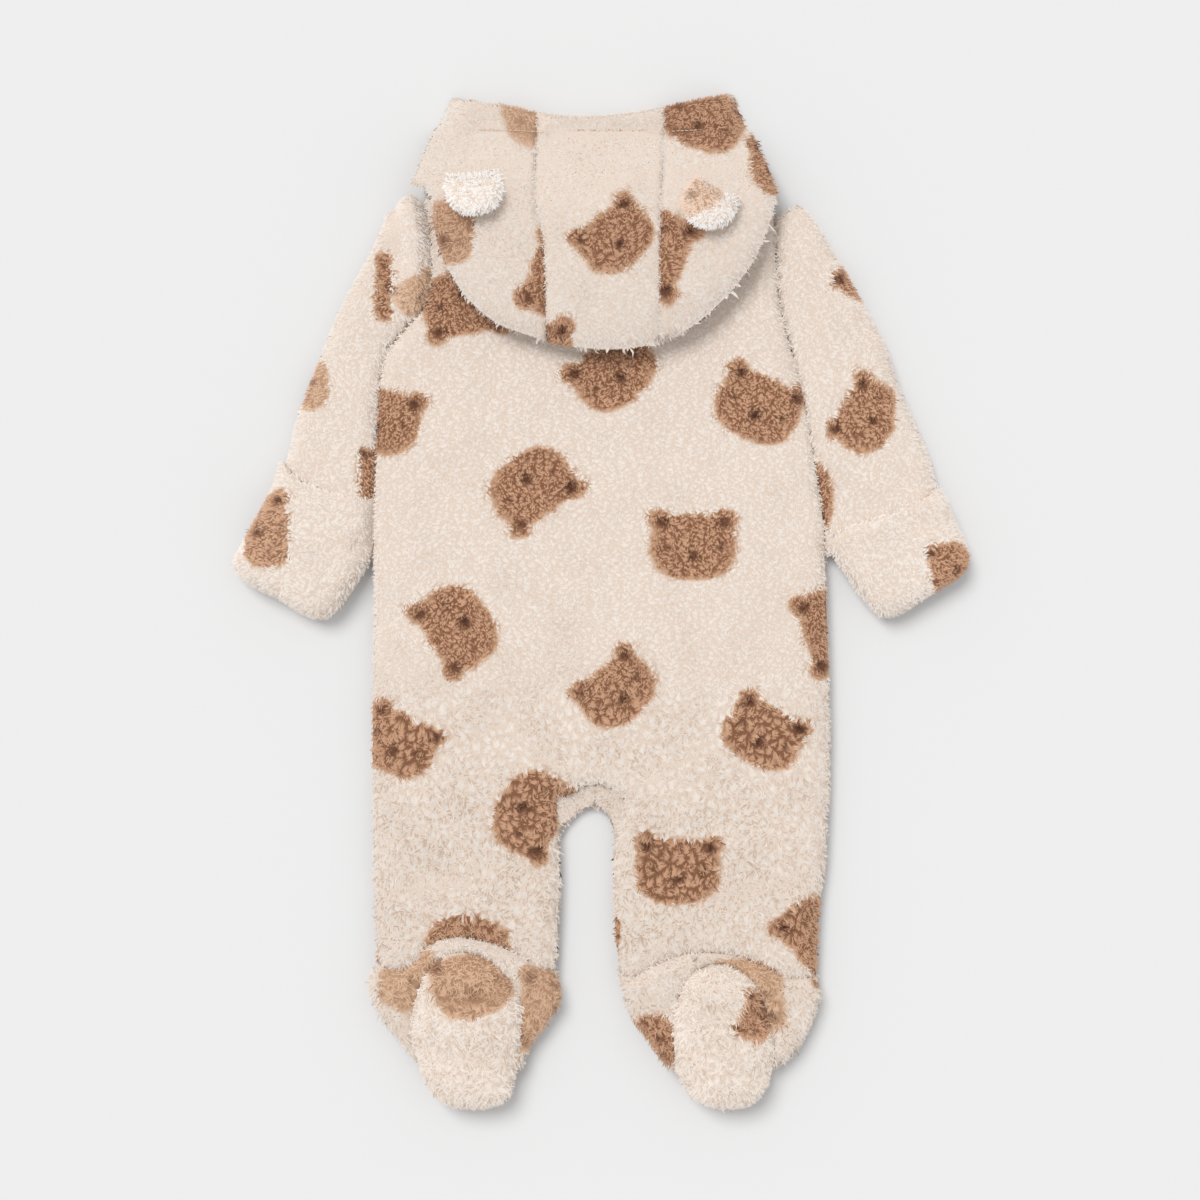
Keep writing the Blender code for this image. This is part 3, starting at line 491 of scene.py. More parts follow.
# %% Creases and unevenness
Crease = namedtuple("Crease", "px py to_px to_py wide deep")
CREASES = {   # from and to in pixels, half width and depth in mm
    "hood": ((478, 128, 560, 133, 4.2, 2.3), (560, 133, 702, 130, 4.2, 2.3),
        (462, 172, 560, 160, 5.0, 1.3), (600, 186, 742, 172, 5.0, 1.3),
        (548, 300, 545, 346, 4.0, 2.0), (664, 300, 668, 348, 4.0, 2.0)),
    "sleeve_left": ((394, 196, 398, 262, 4.0, 1.8), (398, 262, 431, 297, 3.0, 1.6),
        (433, 300, 396, 332, 3.0, 1.5), (321, 453, 306, 482, 3.0, 1.4)),
    "sleeve_right": ((897, 457, 905, 486, 3.0, 1.4), (806, 300, 822, 360, 5.0, 1.2)),
    "mitt_left": ((374, 543, 343, 546, 3.0, 1.6),),
    "mitt_right": ((929, 487, 911, 511, 3.0, 1.5), (924, 516, 919, 533, 3.0, 1.4),
        (919, 533, 903, 537, 3.0, 1.2)),
    "back_body": ((383, 430, 400, 560, 6.0, 1.0), (470, 700, 560, 770, 7.0, 1.0),
        (640, 780, 720, 740, 7.0, 1.0), (690, 900, 800, 880, 6.0, 1.2),
        (390, 890, 480, 875, 6.0, 1.2), (730, 640, 828, 600, 7.0, 0.9),
        (380, 640, 440, 690, 6.0, 0.9)),
    "sole_left": ((434, 1050, 500, 1058, 4.0, 1.2), (425, 1000, 520, 992, 5.0, 1.6)),
    "sole_right": ((684, 1050, 742, 1046, 4.0, 1.2), (700, 1012, 770, 1008, 5.0, 1.6)),
    "heel_band_left": ((387, 1004, 425, 1010, 3.0, 1.4),),
    "heel_band": ((392, 1040, 420, 1000, 4.0, 1.5), (520, 1000, 552, 1012, 4.0, 1.5),
        (648, 985, 660, 1020, 4.0, 1.5), (790, 1000, 822, 975, 4.0, 1.5)),
}
FADING, PAST = 4, 0.12  # how fast a crease fades towards its ends, and how far past them
RELIEF = ((0.034, 1.1 * MM), (0.015, 0.45 * MM))  # waves across and height of unevenness


def creased(plan, piece):
    """How far soft troughs press a piece down at points seen from above, in metres."""
    down = np.zeros(len(plan))
    for crease in (Crease(*row) for name, rows in CREASES.items() if piece.startswith(name)
                   for row in rows):
        start, end = at_pixel(crease.px, crease.py), at_pixel(crease.to_px, crease.to_py)
        along = np.clip((plan - start) @ (end - start) / ((end - start) @ (end - start)), 0, 1)
        away = np.linalg.norm(plan - start - along[:, None] * (end - start), axis=1)
        fade = np.minimum(1, FADING * np.minimum(along + PAST, 1 + PAST - along))
        trough = crease.deep * MM * np.exp(-(away / (crease.wide * MM)) ** 2)
        down = np.maximum(down, trough * fade)
    return down


def uneven(point):
    """A slow unevenness of the cloth, in metres."""
    return np.array([sum(tall * noise.noise(Vector(p) / wide) for wide, tall in RELIEF)
                     for p in point])


# %% Backing cloths
def backing(cut):
    """The cloth of one sewn piece, with what the fur needs to know kept on its points."""
    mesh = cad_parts[cut.node].data.copy()
    mesh.materials.clear()
    shape = bmesh.new()
    shape.from_mesh(mesh)
    bmesh.ops.remove_doubles(shape, verts=shape.verts, dist=SAME)
    flat_edges = [edge for edge in shape.edges
                  if edge.calc_face_angle(math.pi) < math.radians(FLAT_ANGLE)]
    bmesh.ops.beautify_fill(shape, faces=shape.faces, edges=flat_edges)
    split_long_edges(shape, EDGE_LENGTH)
    bmesh.ops.remove_doubles(shape, verts=shape.verts, dist=SLIVER)
    bmesh.ops.dissolve_degenerate(shape, edges=shape.edges, dist=SLIVER / 2)
    shape.to_mesh(mesh)
    shape.free()
    point, way = places(mesh), normals(mesh)
    free = open_air(point, way)
    below = way[:, 2] < UNDER_SLOPE
    depth = SKIN + (PILE - SKIN + uneven(point)) * free
    depth += creased(point[:, :2], cut.node) * free * ~below
    moved = drawn_in(point, way, depth)
    moved[:, 2] = np.maximum(moved[:, 2], ABOVE_FLOOR)
    mesh.vertices.foreach_set("co", moved.astype(np.float32).ravel())
    for band, (low, high) in enumerate(BANDS.get(cut.node, WHOLE)):
        inside = (np.clip((moved[:, 1] - low) / BLEND + 0.5, 0, 1)
                  * np.clip((high - moved[:, 1]) / BLEND + 0.5, 0, 1))
        store(mesh, f"top_{band}", free * inside * ~below)
    store(mesh, "under_0", free * below)
    flatness = np.abs(way[:, 2])
    loose = next((much for start, much in LOOSE.items() if cut.node.startswith(start)), 1.0)
    store(mesh, "short", loose * np.where(below, 0.2 + 0.8 * flatness ** 2,
                                          0.8 + 0.2 * flatness))
    for name, value in (("tone", KNIT_TONE), ("warmth", 1.0), ("along", KNIT_DEPTH),
                        ("deep", KNIT_DEPTH)):
        store(mesh, name, np.full(len(point), value))
    nap = np.array([*cut.nap, 0.0])
    nap /= np.linalg.norm(nap)
    store(mesh, "nap", nap - way * (way @ nap)[:, None])
    print_on(mesh, cut, moved[:, :2], below)
    mesh.shade_smooth()
    return new_object(f"{cut.node}_backing", mesh)


def print_on(mesh, cut, plan, faces_down):
    """Print a piece: its own motifs on top, the ones for underneath below."""
    brown, dark = printed(plan, cut.node)
    if cut.on == "floor":
        below = printed_below(plan, cut)
        brown = np.where(faces_down, below[0], brown)
        dark = np.where(faces_down, below[1], dark)
    store(mesh, "brown", brown)
    store(mesh, "dark", dark)


cloths = {cut.node: backing(cut) for cut in CUTS}
print("backing:", sum(len(c.data.polygons) for c in cloths.values()), "faces")

# %% [markdown]
# ## What teddy fur looks like
#
# It is knitted polyester pile, brushed and tumbled so that it curls. Light sinks in
# between the tufts and comes back warmer: the roots look peach on cream, and chestnut
# on brown. The tips are pale and catch a soft sheen.

# %% Materials for the fur and its backing
CREAM_TIP, CREAM_ROOT = "#DED4CB", "#D2C1B3"
TAN_TIP, TAN_ROOT = "#D3B399", "#B08C70"    # pale print, and the edge of a brown one
TAN_AT = 0.55           # how brown the print is where it is tan
BROWN_TIP, BROWN_ROOT = "#BE9476", "#7A523A"
DARK_TIP, DARK_ROOT = "#6A402C", "#341D12"
SHADE_IN_CREASES = -0.9       # painted shade: how far a crease takes the colour back towards the darker root's
TIP_FROM = 0.6          # the share of a lock's length from which it has the tip's colour


def fur_material(name, from_root, roughness):
    """Fur's colour from the print, from root to tip, uneven from tuft to tuft, with painted shade
    in the creases.
    """
    made, tree, shader = new_material(name)
    kept = {key: add_node(tree, "ShaderNodeAttribute", attribute_name=key).outputs["Fac"]
            for key in ("brown", "dark", "along", "deep", "tone", "warmth")}
    ends = []
    for cream, tan, brown, dark in ((CREAM_ROOT, TAN_ROOT, BROWN_ROOT, DARK_ROOT),
                                    (CREAM_TIP, TAN_TIP, BROWN_TIP, DARK_TIP)):
        plain = add_node(tree, "ShaderNodeValToRGB", {0: kept["brown"]})
        stops = plain.color_ramp.elements
        stops[0].color, stops[1].color = hex_colour(cream), hex_colour(brown)
        stops.new(TAN_AT).color = hex_colour(tan)
        ends.append(add_node(tree, "ShaderNodeMix", {
            "Factor": kept["dark"], "A": plain, "B": hex_colour(dark)}, data_type="RGBA"))
    # Painted shade: creases between tufts and creases in the cloth take the colour towards the
    # darker roots
    reach = maths(tree, "MULTIPLY_ADD", kept["deep"], SHADE_IN_CREASES, kept["along"])
    reach = add_node(tree, "ShaderNodeMapRange", {
        "Value": reach, "From Min": from_root, "From Max": TIP_FROM},
        interpolation_type="SMOOTHSTEP")
    colour = add_node(tree, "ShaderNodeMix", {
        "Factor": reach, "A": ends[0], "B": ends[1]}, data_type="RGBA")
    toned = add_node(tree, "ShaderNodeHueSaturation", {
        "Saturation": kept["warmth"], "Value": kept["tone"], "Color": colour})
    tree.links.new(toned.outputs["Color"], shader.inputs["Base Color"])
    shader.inputs["Roughness"].default_value = roughness
    shader.inputs["Specular IOR Level"].default_value = 0.15
    shader.inputs["Sheen Weight"].default_value = 0.35
    shader.inputs["Sheen Roughness"].default_value = 0.5
    return made


def waves(tree, spacing, along):
    """Parallel ridges, one for each spacing in metres, across one axis of the object."""
    place = add_node(tree, "ShaderNodeTexCoord").outputs["Object"]
    return add_node(tree, "ShaderNodeTexWave", {
        "Vector": place, "Scale": math.tau / (20 * spacing), "Distortion": 0.6},
        bands_direction=along)


def bump(made, height, strength, deep):
    """Raise a material's surface by a pattern; deep is the relief in metres."""
    tree = made.node_tree
    raised = add_node(tree, "ShaderNodeBump", {
        "Height": height, "Strength": strength, "Distance": deep})
    tree.links.new(raised.outputs["Normal"], tree.nodes["Principled BSDF"].inputs["Normal"])


# Polyester pile: hundreds of fibres in each lock, which break its face up.
FIBRE = 0.35 * MM       # ten times a real fibre's width, or the render wouldn't show it
pile_look = fur_material("curled_polyester_pile", -0.6, 0.85)
place = add_node(pile_look.node_tree, "ShaderNodeTexCoord").outputs["Object"]
fibres = add_node(pile_look.node_tree, "ShaderNodeTexNoise", {
    "Vector": place, "Scale": 1 / FIBRE, "Detail": 2.0})
bump(pile_look, fibres, 0.2, 0.08 * MM)

# A weft knit: loops in columns, a little wider than they are tall.
LOOP_WIDE, LOOP_TALL = 1.3 * MM, 1.0 * MM
knit_look = fur_material("knitted_backing", 0.0, 0.95)
loops = maths(knit_look.node_tree, "MULTIPLY", waves(knit_look.node_tree, LOOP_WIDE, "X"),
              waves(knit_look.node_tree, LOOP_TALL, "Y"))
bump(knit_look, loops, 0.5, 0.15 * MM)
print("fur materials:", pile_look.name, knit_look.name)

# %% [markdown]
# ## A lock of pile
#
# One lock is a bent blade of three triangles, a unit long and a unit wide: hundreds of
# thousands of them have to stay light. Three blades with different bends are enough,
# because each lock is also turned, scaled and leaned by its own amount.

# %% Blades
Bend = namedtuple("Bend", "name rise sideways")
BENDS = (Bend("straight_lock", 0.10, 0.1), Bend("left_curl", 0.22, -0.6),
         Bend("right_curl", 0.18, 0.7))


def blade(bend):
    """A blade from its root along +Y to its tip, its face towards +Z."""
    mesh = bpy.data.meshes.new(bend.name)
    points = [(-0.5, 0, 0), (0.5, 0, 0), (0.42 + bend.sideways * 0.35, 0.55, bend.rise),
              (-0.42 + bend.sideways * 0.35, 0.55, bend.rise), (bend.sideways, 1, 0)]
    mesh.from_pydata(points, [], [(0, 1, 2, 3), (3, 2, 4)])
    store(mesh, "along", np.array([0, 0, 0.55, 0.55, 1.0]))
    return new_object(bend.name, mesh)


blades = [blade(bend) for bend in BENDS]

# %% [markdown]
# ## Growing the pile
#
# The tree scatters roots on the cloth, and a Voronoi pattern parts them into tufts: each
# lock leans towards the middle of its own cell, so that neighbours meet in a curl with a
# crease around it. A slow noise swirls the nap. At its end the tree makes the instances
# real, turns each lock's face to the light and sets the material, and the result is
# turned into a plain mesh.

# %% The tree
TREE_INPUTS = (("Cloth", "Geometry"), ("Full", "String"), ("Density", "Float"),
               ("Height", "Float"), ("Reach", "Float"), ("Sweep", "Float"),
               ("Wave", "Float"), ("Tuft Width", "Float"), ("Tuft Length", "Float"),
               ("Gather", "Float"), ("Stray", "Float"), ("Width", "Float"),
               ("Side", "Float"), ("Seed", "Int"))
WARP = 0.9                      # how far the tufts' outlines wander, in tufts
CREASE_WIDTH = (0.0, 0.11)      # the crease between two tufts, as shares of a tuft
CREASED = 0.6                   # how much lower the pile is there
ROUNDNESS = 0.12                # how far a tuft's edge is shaded as if it faced away
TUFT_TONE, LOCK_TONE = 0.05, 0.06   # how much tufts, and the locks in them, differ
TURNED_AWAY = -0.25             # a face that looks further down than this is turned up


def pile_tree(locks):
    """Geometry Nodes that grow a pile of these locks on a cloth."""
    tree, given = new_tree("teddy_pile", TREE_INPUTS)

    # Roots, more of them where the fur is full
    full = add_node(tree, "GeometryNodeInputNamedAttribute", {"Name": given["Full"]},
                    data_type="FLOAT")
    density = maths(tree, "MULTIPLY", full, given["Density"])
    roots = add_node(tree, "GeometryNodeDistributePointsOnFaces", {
        "Mesh": given["Cloth"], "Density": density, "Seed": given["Seed"]},
        distribute_method="RANDOM")
    place = add_node(tree, "GeometryNodeInputPosition")
    points = roots.outputs["Points"]
    for name, value in (("root", place), ("out", roots.outputs["Normal"])):
        points = add_node(tree, "GeometryNodeStoreNamedAttribute", {
            "Geometry": points, "Name": name, "Value": value},
            data_type="FLOAT_VECTOR", domain="POINT")
    root, out, nap = (add_node(tree, "GeometryNodeInputNamedAttribute", {"Name": name},
                               data_type="FLOAT_VECTOR") for name in ("root", "out", "nap"))
    short = add_node(tree, "GeometryNodeInputNamedAttribute", {"Name": "short"},
                     data_type="FLOAT")
    across = vectors(tree, "CROSS_PRODUCT", out, nap)

    # Which tuft a root belongs to: cells as wide and as long as asked, measured across
    # and along the nap, and bent by a slow noise. Then the way to the tuft's middle
    sides = [vectors(tree, "DOT_PRODUCT", root, way) for way in (across, nap, out)]
    flat = add_node(tree, "ShaderNodeCombineXYZ", dict(zip("XYZ", sides)))
    shape = add_node(tree, "ShaderNodeCombineXYZ", {
        "X": given["Tuft Width"], "Y": given["Tuft Length"], "Z": given["Tuft Width"]})
    measured = vectors(tree, "DIVIDE", flat, shape)
    often = maths(tree, "DIVIDE", 1.0, given["Wave"])
    swirl = add_node(tree, "ShaderNodeTexNoise", {"Vector": flat, "Scale": often,
                                                  "Detail": 1.0})
    bent = vectors(tree, "MULTIPLY_ADD", swirl.outputs["Color"], (WARP, WARP, WARP), measured)
    cells = add_node(tree, "ShaderNodeTexVoronoi", {"Vector": bent, "Scale": 1.0},
                     voronoi_dimensions="3D")
    toward = vectors(tree, "SUBTRACT", cells.outputs["Position"], bent)
    steps = vectors(tree, "MULTIPLY", toward, shape)
    steps = add_node(tree, "ShaderNodeSeparateXYZ", {0: steps})
    over = vectors(tree, "SCALE", across, steps.outputs["X"])
    onwards = vectors(tree, "SCALE", nap, steps.outputs["Y"])
    inwards = vectors(tree, "ADD", over, onwards)
    border = add_node(tree, "ShaderNodeTexVoronoi", {"Vector": bent, "Scale": 1.0},
                      voronoi_dimensions="3D", feature="DISTANCE_TO_EDGE")
    deep = add_node(tree, "ShaderNodeMapRange", {
        "Value": border, "From Min": CREASE_WIDTH[0], "From Max": CREASE_WIDTH[1],
        "To Min": 1.0, "To Max": 0.0}, interpolation_type="SMOOTHSTEP")
    height = maths(tree, "MULTIPLY_ADD", deep, -CREASED, 1.0)
    height = maths(tree, "MULTIPLY", height, given["Height"])
    leaning = add_node(tree, "ShaderNodeMapRange", {
        "Value": swirl, "From Min": 0.4, "From Max": 0.6, "To Min": -1.0, "To Max": 1.0})
    loose = chance(tree, (-1.0, -1.0, -0.6), (1.0, 1.0, 0.6), 3, "FLOAT_VECTOR")

    # From each root to the tip of its lock, as the sum of all these
    sweep = maths(tree, "MULTIPLY", leaning, given["Sweep"])
    tip = vectors(tree, "SCALE", out, height)
    for way, amount in ((nap, given["Reach"]), (across, sweep), (inwards, given["Gather"]),
                        (loose, given["Stray"])):
        scaled = vectors(tree, "SCALE", way, amount)
        tip = vectors(tree, "ADD", tip, scaled)
    tip = vectors(tree, "SCALE", tip, short)

    # Turn and size of a lock
    tilted = chance(tree, (-0.25, -0.25, 0.7), (0.25, 0.25, 0.9), 5, "FLOAT_VECTOR")
    outside = vectors(tree, "ADD", out, tilted)
    turn = add_node(tree, "FunctionNodeAlignRotationToVector", {"Vector": tip}, axis="Y")
    turn = add_node(tree, "FunctionNodeAlignRotationToVector", {
        "Rotation": turn, "Vector": outside}, axis="Z", pivot_axis="Y")
    reach = vectors(tree, "LENGTH", tip)
    longer = chance(tree, 0.8, 1.15, 7)
    wider = chance(tree, 0.7, 1.3, 9)
    long = maths(tree, "MULTIPLY", reach, longer)
    wide = maths(tree, "MULTIPLY", given["Width"], wider)
    size = add_node(tree, "ShaderNodeCombineXYZ", {"X": wide, "Y": long, "Z": long})

    # A tone of its own for each tuft and lock, and a soft normal that rounds the tuft
    shade = add_node(tree, "ShaderNodeSeparateXYZ", {0: cells.outputs["Color"]})
    lock_tone = chance(tree, 1 - LOCK_TONE, 1.0, 11)
    tone = maths(tree, "MULTIPLY_ADD", shade, TUFT_TONE, lock_tone)
    bulge = maths(tree, "DIVIDE", -ROUNDNESS, given["Tuft Width"])
    edge = vectors(tree, "SCALE", inwards, bulge)
    rounded = vectors(tree, "ADD", out, edge)
    soft = vectors(tree, "NORMALIZE", rounded)
    # deep lowers the locks in a crease, and the material paints it as shade
    for name, value, kind in (("tone", tone, "FLOAT"), ("deep", deep, "FLOAT"),
                              ("soft", soft, "FLOAT_VECTOR")):
        points = add_node(tree, "GeometryNodeStoreNamedAttribute", {
            "Geometry": points, "Name": name, "Value": value}, data_type=kind,
            domain="POINT")

    # The locks themselves
    shapes = add_node(tree, "GeometryNodeJoinGeometry")
    for lock in reversed(locks):
        shape = add_node(tree, "GeometryNodeObjectInfo", {"Object": lock,
                                                          "As Instance": True})
        tree.links.new(shape.outputs["Geometry"], shapes.inputs[0])
    which = chance(tree, 0, len(locks) - 1, 13, "INT")
    grown = add_node(tree, "GeometryNodeInstanceOnPoints", {
        "Points": points, "Instance": shapes, "Pick Instance": True,
        "Instance Index": which, "Rotation": turn, "Scale": size})
    real = add_node(tree, "GeometryNodeRealizeInstances", {"Geometry": grown})

    # A blade seen from behind renders dark, so its face looks up, or down underneath
    facing = add_node(tree, "ShaderNodeSeparateXYZ", {
        0: add_node(tree, "GeometryNodeInputNormal")})
    facing = maths(tree, "MULTIPLY", facing.outputs["Z"], given["Side"])
    turned_away = add_node(tree, "FunctionNodeCompare", {"A": facing, "B": TURNED_AWAY},
                           data_type="FLOAT", operation="LESS_THAN")
    real = add_node(tree, "GeometryNodeFlipFaces", {"Mesh": real, "Selection": turned_away})
    looked = add_node(tree, "GeometryNodeSetMaterial", {"Geometry": real,
                                                        "Material": pile_look})
    add_node(tree, "NodeGroupOutput", {"Made": looked})
    return tree


teddy_pile = pile_tree(blades)
print("teddy_pile:", len(teddy_pile.nodes), "nodes")

# %% Growing it on a cloth
STANDING = {"Density": 0.84e6, "Height": 1.9 * MM, "Reach": 1.6 * MM, "Sweep": 1.6 * MM,
            "Wave": 9 * MM, "Tuft Width": 5.0 * MM, "Tuft Length": 2.4 * MM, "Gather": 0.6,
            "Stray": 0.6 * MM, "Width": 0.84 * MM, "Side": 1.0}
RUFFLED = {**STANDING, "Wave": 8 * MM, "Tuft Width": 5.5 * MM, "Tuft Length": 8 * MM,
           "Sweep": 2.6 * MM, "Gather": 0.8}
LAID = {"Density": 0.25e6, "Height": 1.0 * MM, "Reach": 3 * MM, "Sweep": 3.5 * MM,
        "Wave": 9 * MM, "Tuft Width": 8 * MM, "Tuft Length": 5 * MM, "Gather": 0.4,
        "Stray": 1.2 * MM, "Width": 2.0 * MM, "Side": -1.0}
BLADE_POINTS = 5
FULL_SHADE_DEPTH = 2.4 * MM      # a crease this deep is painted wholly in the roots' darker colour, as painted shade
FEWEST = 30             # fewer locks than this don't make a piece


def grow(cut, full, sizes, seed):
    """The pile of one part of a piece as a plain mesh, or none where no fur grows."""
    return applied(cloths[cut.node], teddy_pile, {**sizes, "Full": full, "Seed": seed})


# %% Finishing a pile
TONES = {"ear": 1.10, "hood": 0.92, "mitt": 1.03, "sole": 1.09}    # against the rest: the hood's lower tone is painted shade, the ears' higher one their whiter plush
EAR_WARMTH = 0.55       # the ears are whiter than the rest too
EAR_CREASES = 0.4       # how much of the painted crease shade shows on them
UPWARD = 1.2            # how far the light reaches round into the pile at an edge
SHADE_FROM, SHADE_TO = 0.02, -0.16    # metres up the suit: no painted shade above the first, full painted shade below the second
PATCH = 0.022           # across one patch of painted shade
BY_HEIGHT, BY_PATCH = 0.85, 0.6     # how much the height and the patches count
LOW_SHADE_TIP, LOW_SHADE_ROOT = 0.12, 0.31    # how much darker the painted shade makes the pile, at tips and roots
PRINTED_EVEN = 0.3      # how much less the painted crease shade shows in the brown print
LOW_SHADE_WARMTH = 0.4       # and how much warmer the painted shade is, in the creases
ALL_OVER = 0.3          # the share of that warmth which is outside the creases too
PRESSED = 0.5           # how far a crease in the cloth presses the locks down as well
BLADE_UV = np.array([(0.1, 0.1), (0.9, 0.1), (0.9, 0.5), (0.1, 0.5), (0.5, 0.9)])


def shade_lower_down(point):
    """How much painted shade each lock gets, from 0 on the shoulders to 1 on the legs."""
    low = np.clip((point[:, 1] - SHADE_FROM) / (SHADE_TO - SHADE_FROM), 0, 1)
    patch = np.array([noise.noise(Vector(p) / PATCH) for p in point])
    return np.clip(BY_HEIGHT * low + BY_PATCH * patch, 0, 1)


def lay_out(mesh):
    """Give each lock a square of its own in a UV map named OFBake."""
    corner = np.empty(len(mesh.loops), np.int32)
    mesh.loops.foreach_get("vertex_index", corner)
    lock, point = corner // BLADE_POINTS, corner % BLADE_POINTS
    row = math.ceil(math.sqrt(lock.max() + 1))
    square = (np.stack((lock % row, lock // row), axis=1) + BLADE_UV[point]) / row
    mesh.uv_layers.new(name="OFBake").data.foreach_set("uv", square.astype(np.float32).ravel())


def finish_pile(mesh, cut, name):
    """Print the locks by their roots, paint shade into them lower down and in creases, keep them
    off the floor, and shade them softly.
    """
    ear, under = cut.node.startswith("ear"), name.endswith("under_0")
    root = stored(mesh, "root", 3).astype(float)
    lower_shade = np.repeat(shade_lower_down(root[::BLADE_POINTS]), BLADE_POINTS)
    brown, dark = (printed_below(root[:, :2], cut) if under and cut.on == "floor"
                   else printed(root[:, :2], cut.node))
    deep = stored(mesh, "deep") * (EAR_CREASES if ear else 1 - PRINTED_EVEN * brown)
    tone = stored(mesh, "tone") * next(
        (much for start, much in TONES.items() if cut.node.startswith(start)), 1.0)
    # Painted shade: darker lower down the suit and in slow patches, most at the roots
    store(mesh, "tone", tone * (1 - lower_shade * (LOW_SHADE_TIP + (LOW_SHADE_ROOT - LOW_SHADE_TIP) * deep)))
    store(mesh, "brown", brown)
    store(mesh, "dark", dark)
    pressed = np.zeros(len(root)) if under else creased(root[:, :2], cut.node)
    # Painted shade is warmer as well; the ears are whiter, which is their own colour
    store(mesh, "warmth", 1 - (1 - EAR_WARMTH) * (1 - brown) if ear
          else 1 + LOW_SHADE_WARMTH * lower_shade * (1 - brown) * (ALL_OVER + (1 - ALL_OVER) * deep))
    # Creases pressed into the cloth get the roots' darker colour as well: painted shade
    store(mesh, "deep", np.maximum(deep, pressed / FULL_SHADE_DEPTH))
    co = places(mesh) - stored(mesh, "out", 3) * (pressed * PRESSED)[:, None]
    co[:, 2] = np.maximum(co[:, 2], ABOVE_FLOOR)
    mesh.vertices.foreach_set("co", co.astype(np.float32).ravel())
    mesh.shade_smooth()
    soft = stored(mesh, "soft", 3) + (0, 0, 0 if under else UPWARD)
    mesh.normals_split_custom_set_from_vertices(soft / np.linalg.norm(soft, axis=1)[:, None])
    lay_out(mesh)
    made = new_object(name, mesh)
    # Fibres a hundredth of a millimetre thick let the light through, so the locks shade
    # nothing: the cloth under them casts the shadows.
    # The shade between the tufts is painted into the locks' colour instead.
    made.visible_shadow = made.visible_diffuse = False
    return made


# %% The whole pile
FEET = ("sole", "heel_band")
piles = {}
total = 0
for number, cut in enumerate(CUTS):
    piles[cut.node] = []
    for full in [f"top_{n}" for n in range(len(BANDS.get(cut.node, WHOLE)))] + ["under_0"]:
        sizes = LAID if full == "under_0" else STANDING
        if (cut.node, full) == ("back_body", "top_0") or cut.node.startswith(FEET):
            sizes = LAID if full == "under_0" else RUFFLED
        mesh = grow(cut, full, sizes, 10 * number + ord(full[-1]) + len(full))
        locks = len(mesh.vertices) // BLADE_POINTS
        if locks < FEWEST:
            continue
        made = finish_pile(mesh, cut, f"{cut.node}_pile_{full}")
        piles[cut.node].append(made)
        total += locks
        print(made.name, locks, "locks")
print("in all", total, "locks,", 3 * total, "triangles")

# %% [markdown]
# ## The zip, and the stitches
#
# The front lies on the paper, but a suit with closed feet and mitts opens with a zip: two
# woven tapes, a nylon coil between them and a cast slider. The solid model holds the coil
# as one bar. Here it is turn by turn, set out along the zip by a Geometry Nodes tree that
# turns every second one about. The same tree lays the stitches that hold the tapes to the
# fur, and the line of stitches round the hood's face hem.

# %% A row of small pieces along a line
ROW_INPUTS = (("Route", "Geometry"), ("Piece", "Object"), ("Spacing", "Float"),
              ("Turn", "Float"), ("Material", "Material"))


def row_tree():
    """Geometry Nodes that set copies of a piece along a line, each along its direction."""
    tree, given = new_tree("row_of_pieces", ROW_INPUTS)
    line = add_node(tree, "GeometryNodeMeshToCurve", {"Mesh": given["Route"]})
    points = add_node(tree, "GeometryNodeCurveToPoints", {
        "Curve": line, "Length": given["Spacing"]}, mode="LENGTH")
    along = add_node(tree, "FunctionNodeAlignRotationToVector", {
        "Vector": points.outputs["Tangent"]}, axis="Y")
    second = maths(tree, "MODULO", add_node(tree, "GeometryNodeInputIndex"), 2.0)
    turned = maths(tree, "MULTIPLY", second, given["Turn"])
    about = add_node(tree, "ShaderNodeCombineXYZ", {"Z": turned})
    about = add_node(tree, "FunctionNodeEulerToRotation", {0: about})
    turn = add_node(tree, "FunctionNodeRotateRotation", {"Rotation": along,
                                                         "Rotate By": about},
                    rotation_space="LOCAL")
    shape = add_node(tree, "GeometryNodeObjectInfo", {"Object": given["Piece"],
                                                      "As Instance": True})
    placed = add_node(tree, "GeometryNodeInstanceOnPoints", {
        "Points": points.outputs["Points"], "Instance": shape.outputs["Geometry"],
        "Rotation": turn})
    real = add_node(tree, "GeometryNodeRealizeInstances", {"Geometry": placed})
    looked = add_node(tree, "GeometryNodeSetMaterial", {"Geometry": real,
                                                        "Material": given["Material"]})
    add_node(tree, "NodeGroupOutput", {"Made": looked})
    return tree


rows = row_tree()


def row_of(name, lines, sizes):
    """One piece made of copies set along lines of points."""
    points = [point for line in lines for point in line]
    edges, start = [], 0
    for line in lines:
        edges += [(start + i, start + i + 1) for i in range(len(line) - 1)]
        start += len(line)
    mesh = bpy.data.meshes.new(name)
    mesh.from_pydata(points, edges, [])
    guide = new_object(name + "_guide", mesh)
    made = new_object(name, applied(guide, rows, sizes))
    bpy.data.objects.remove(guide)
    made.data.shade_smooth()
    print(name, len(made.data.polygons), "faces")
    return made


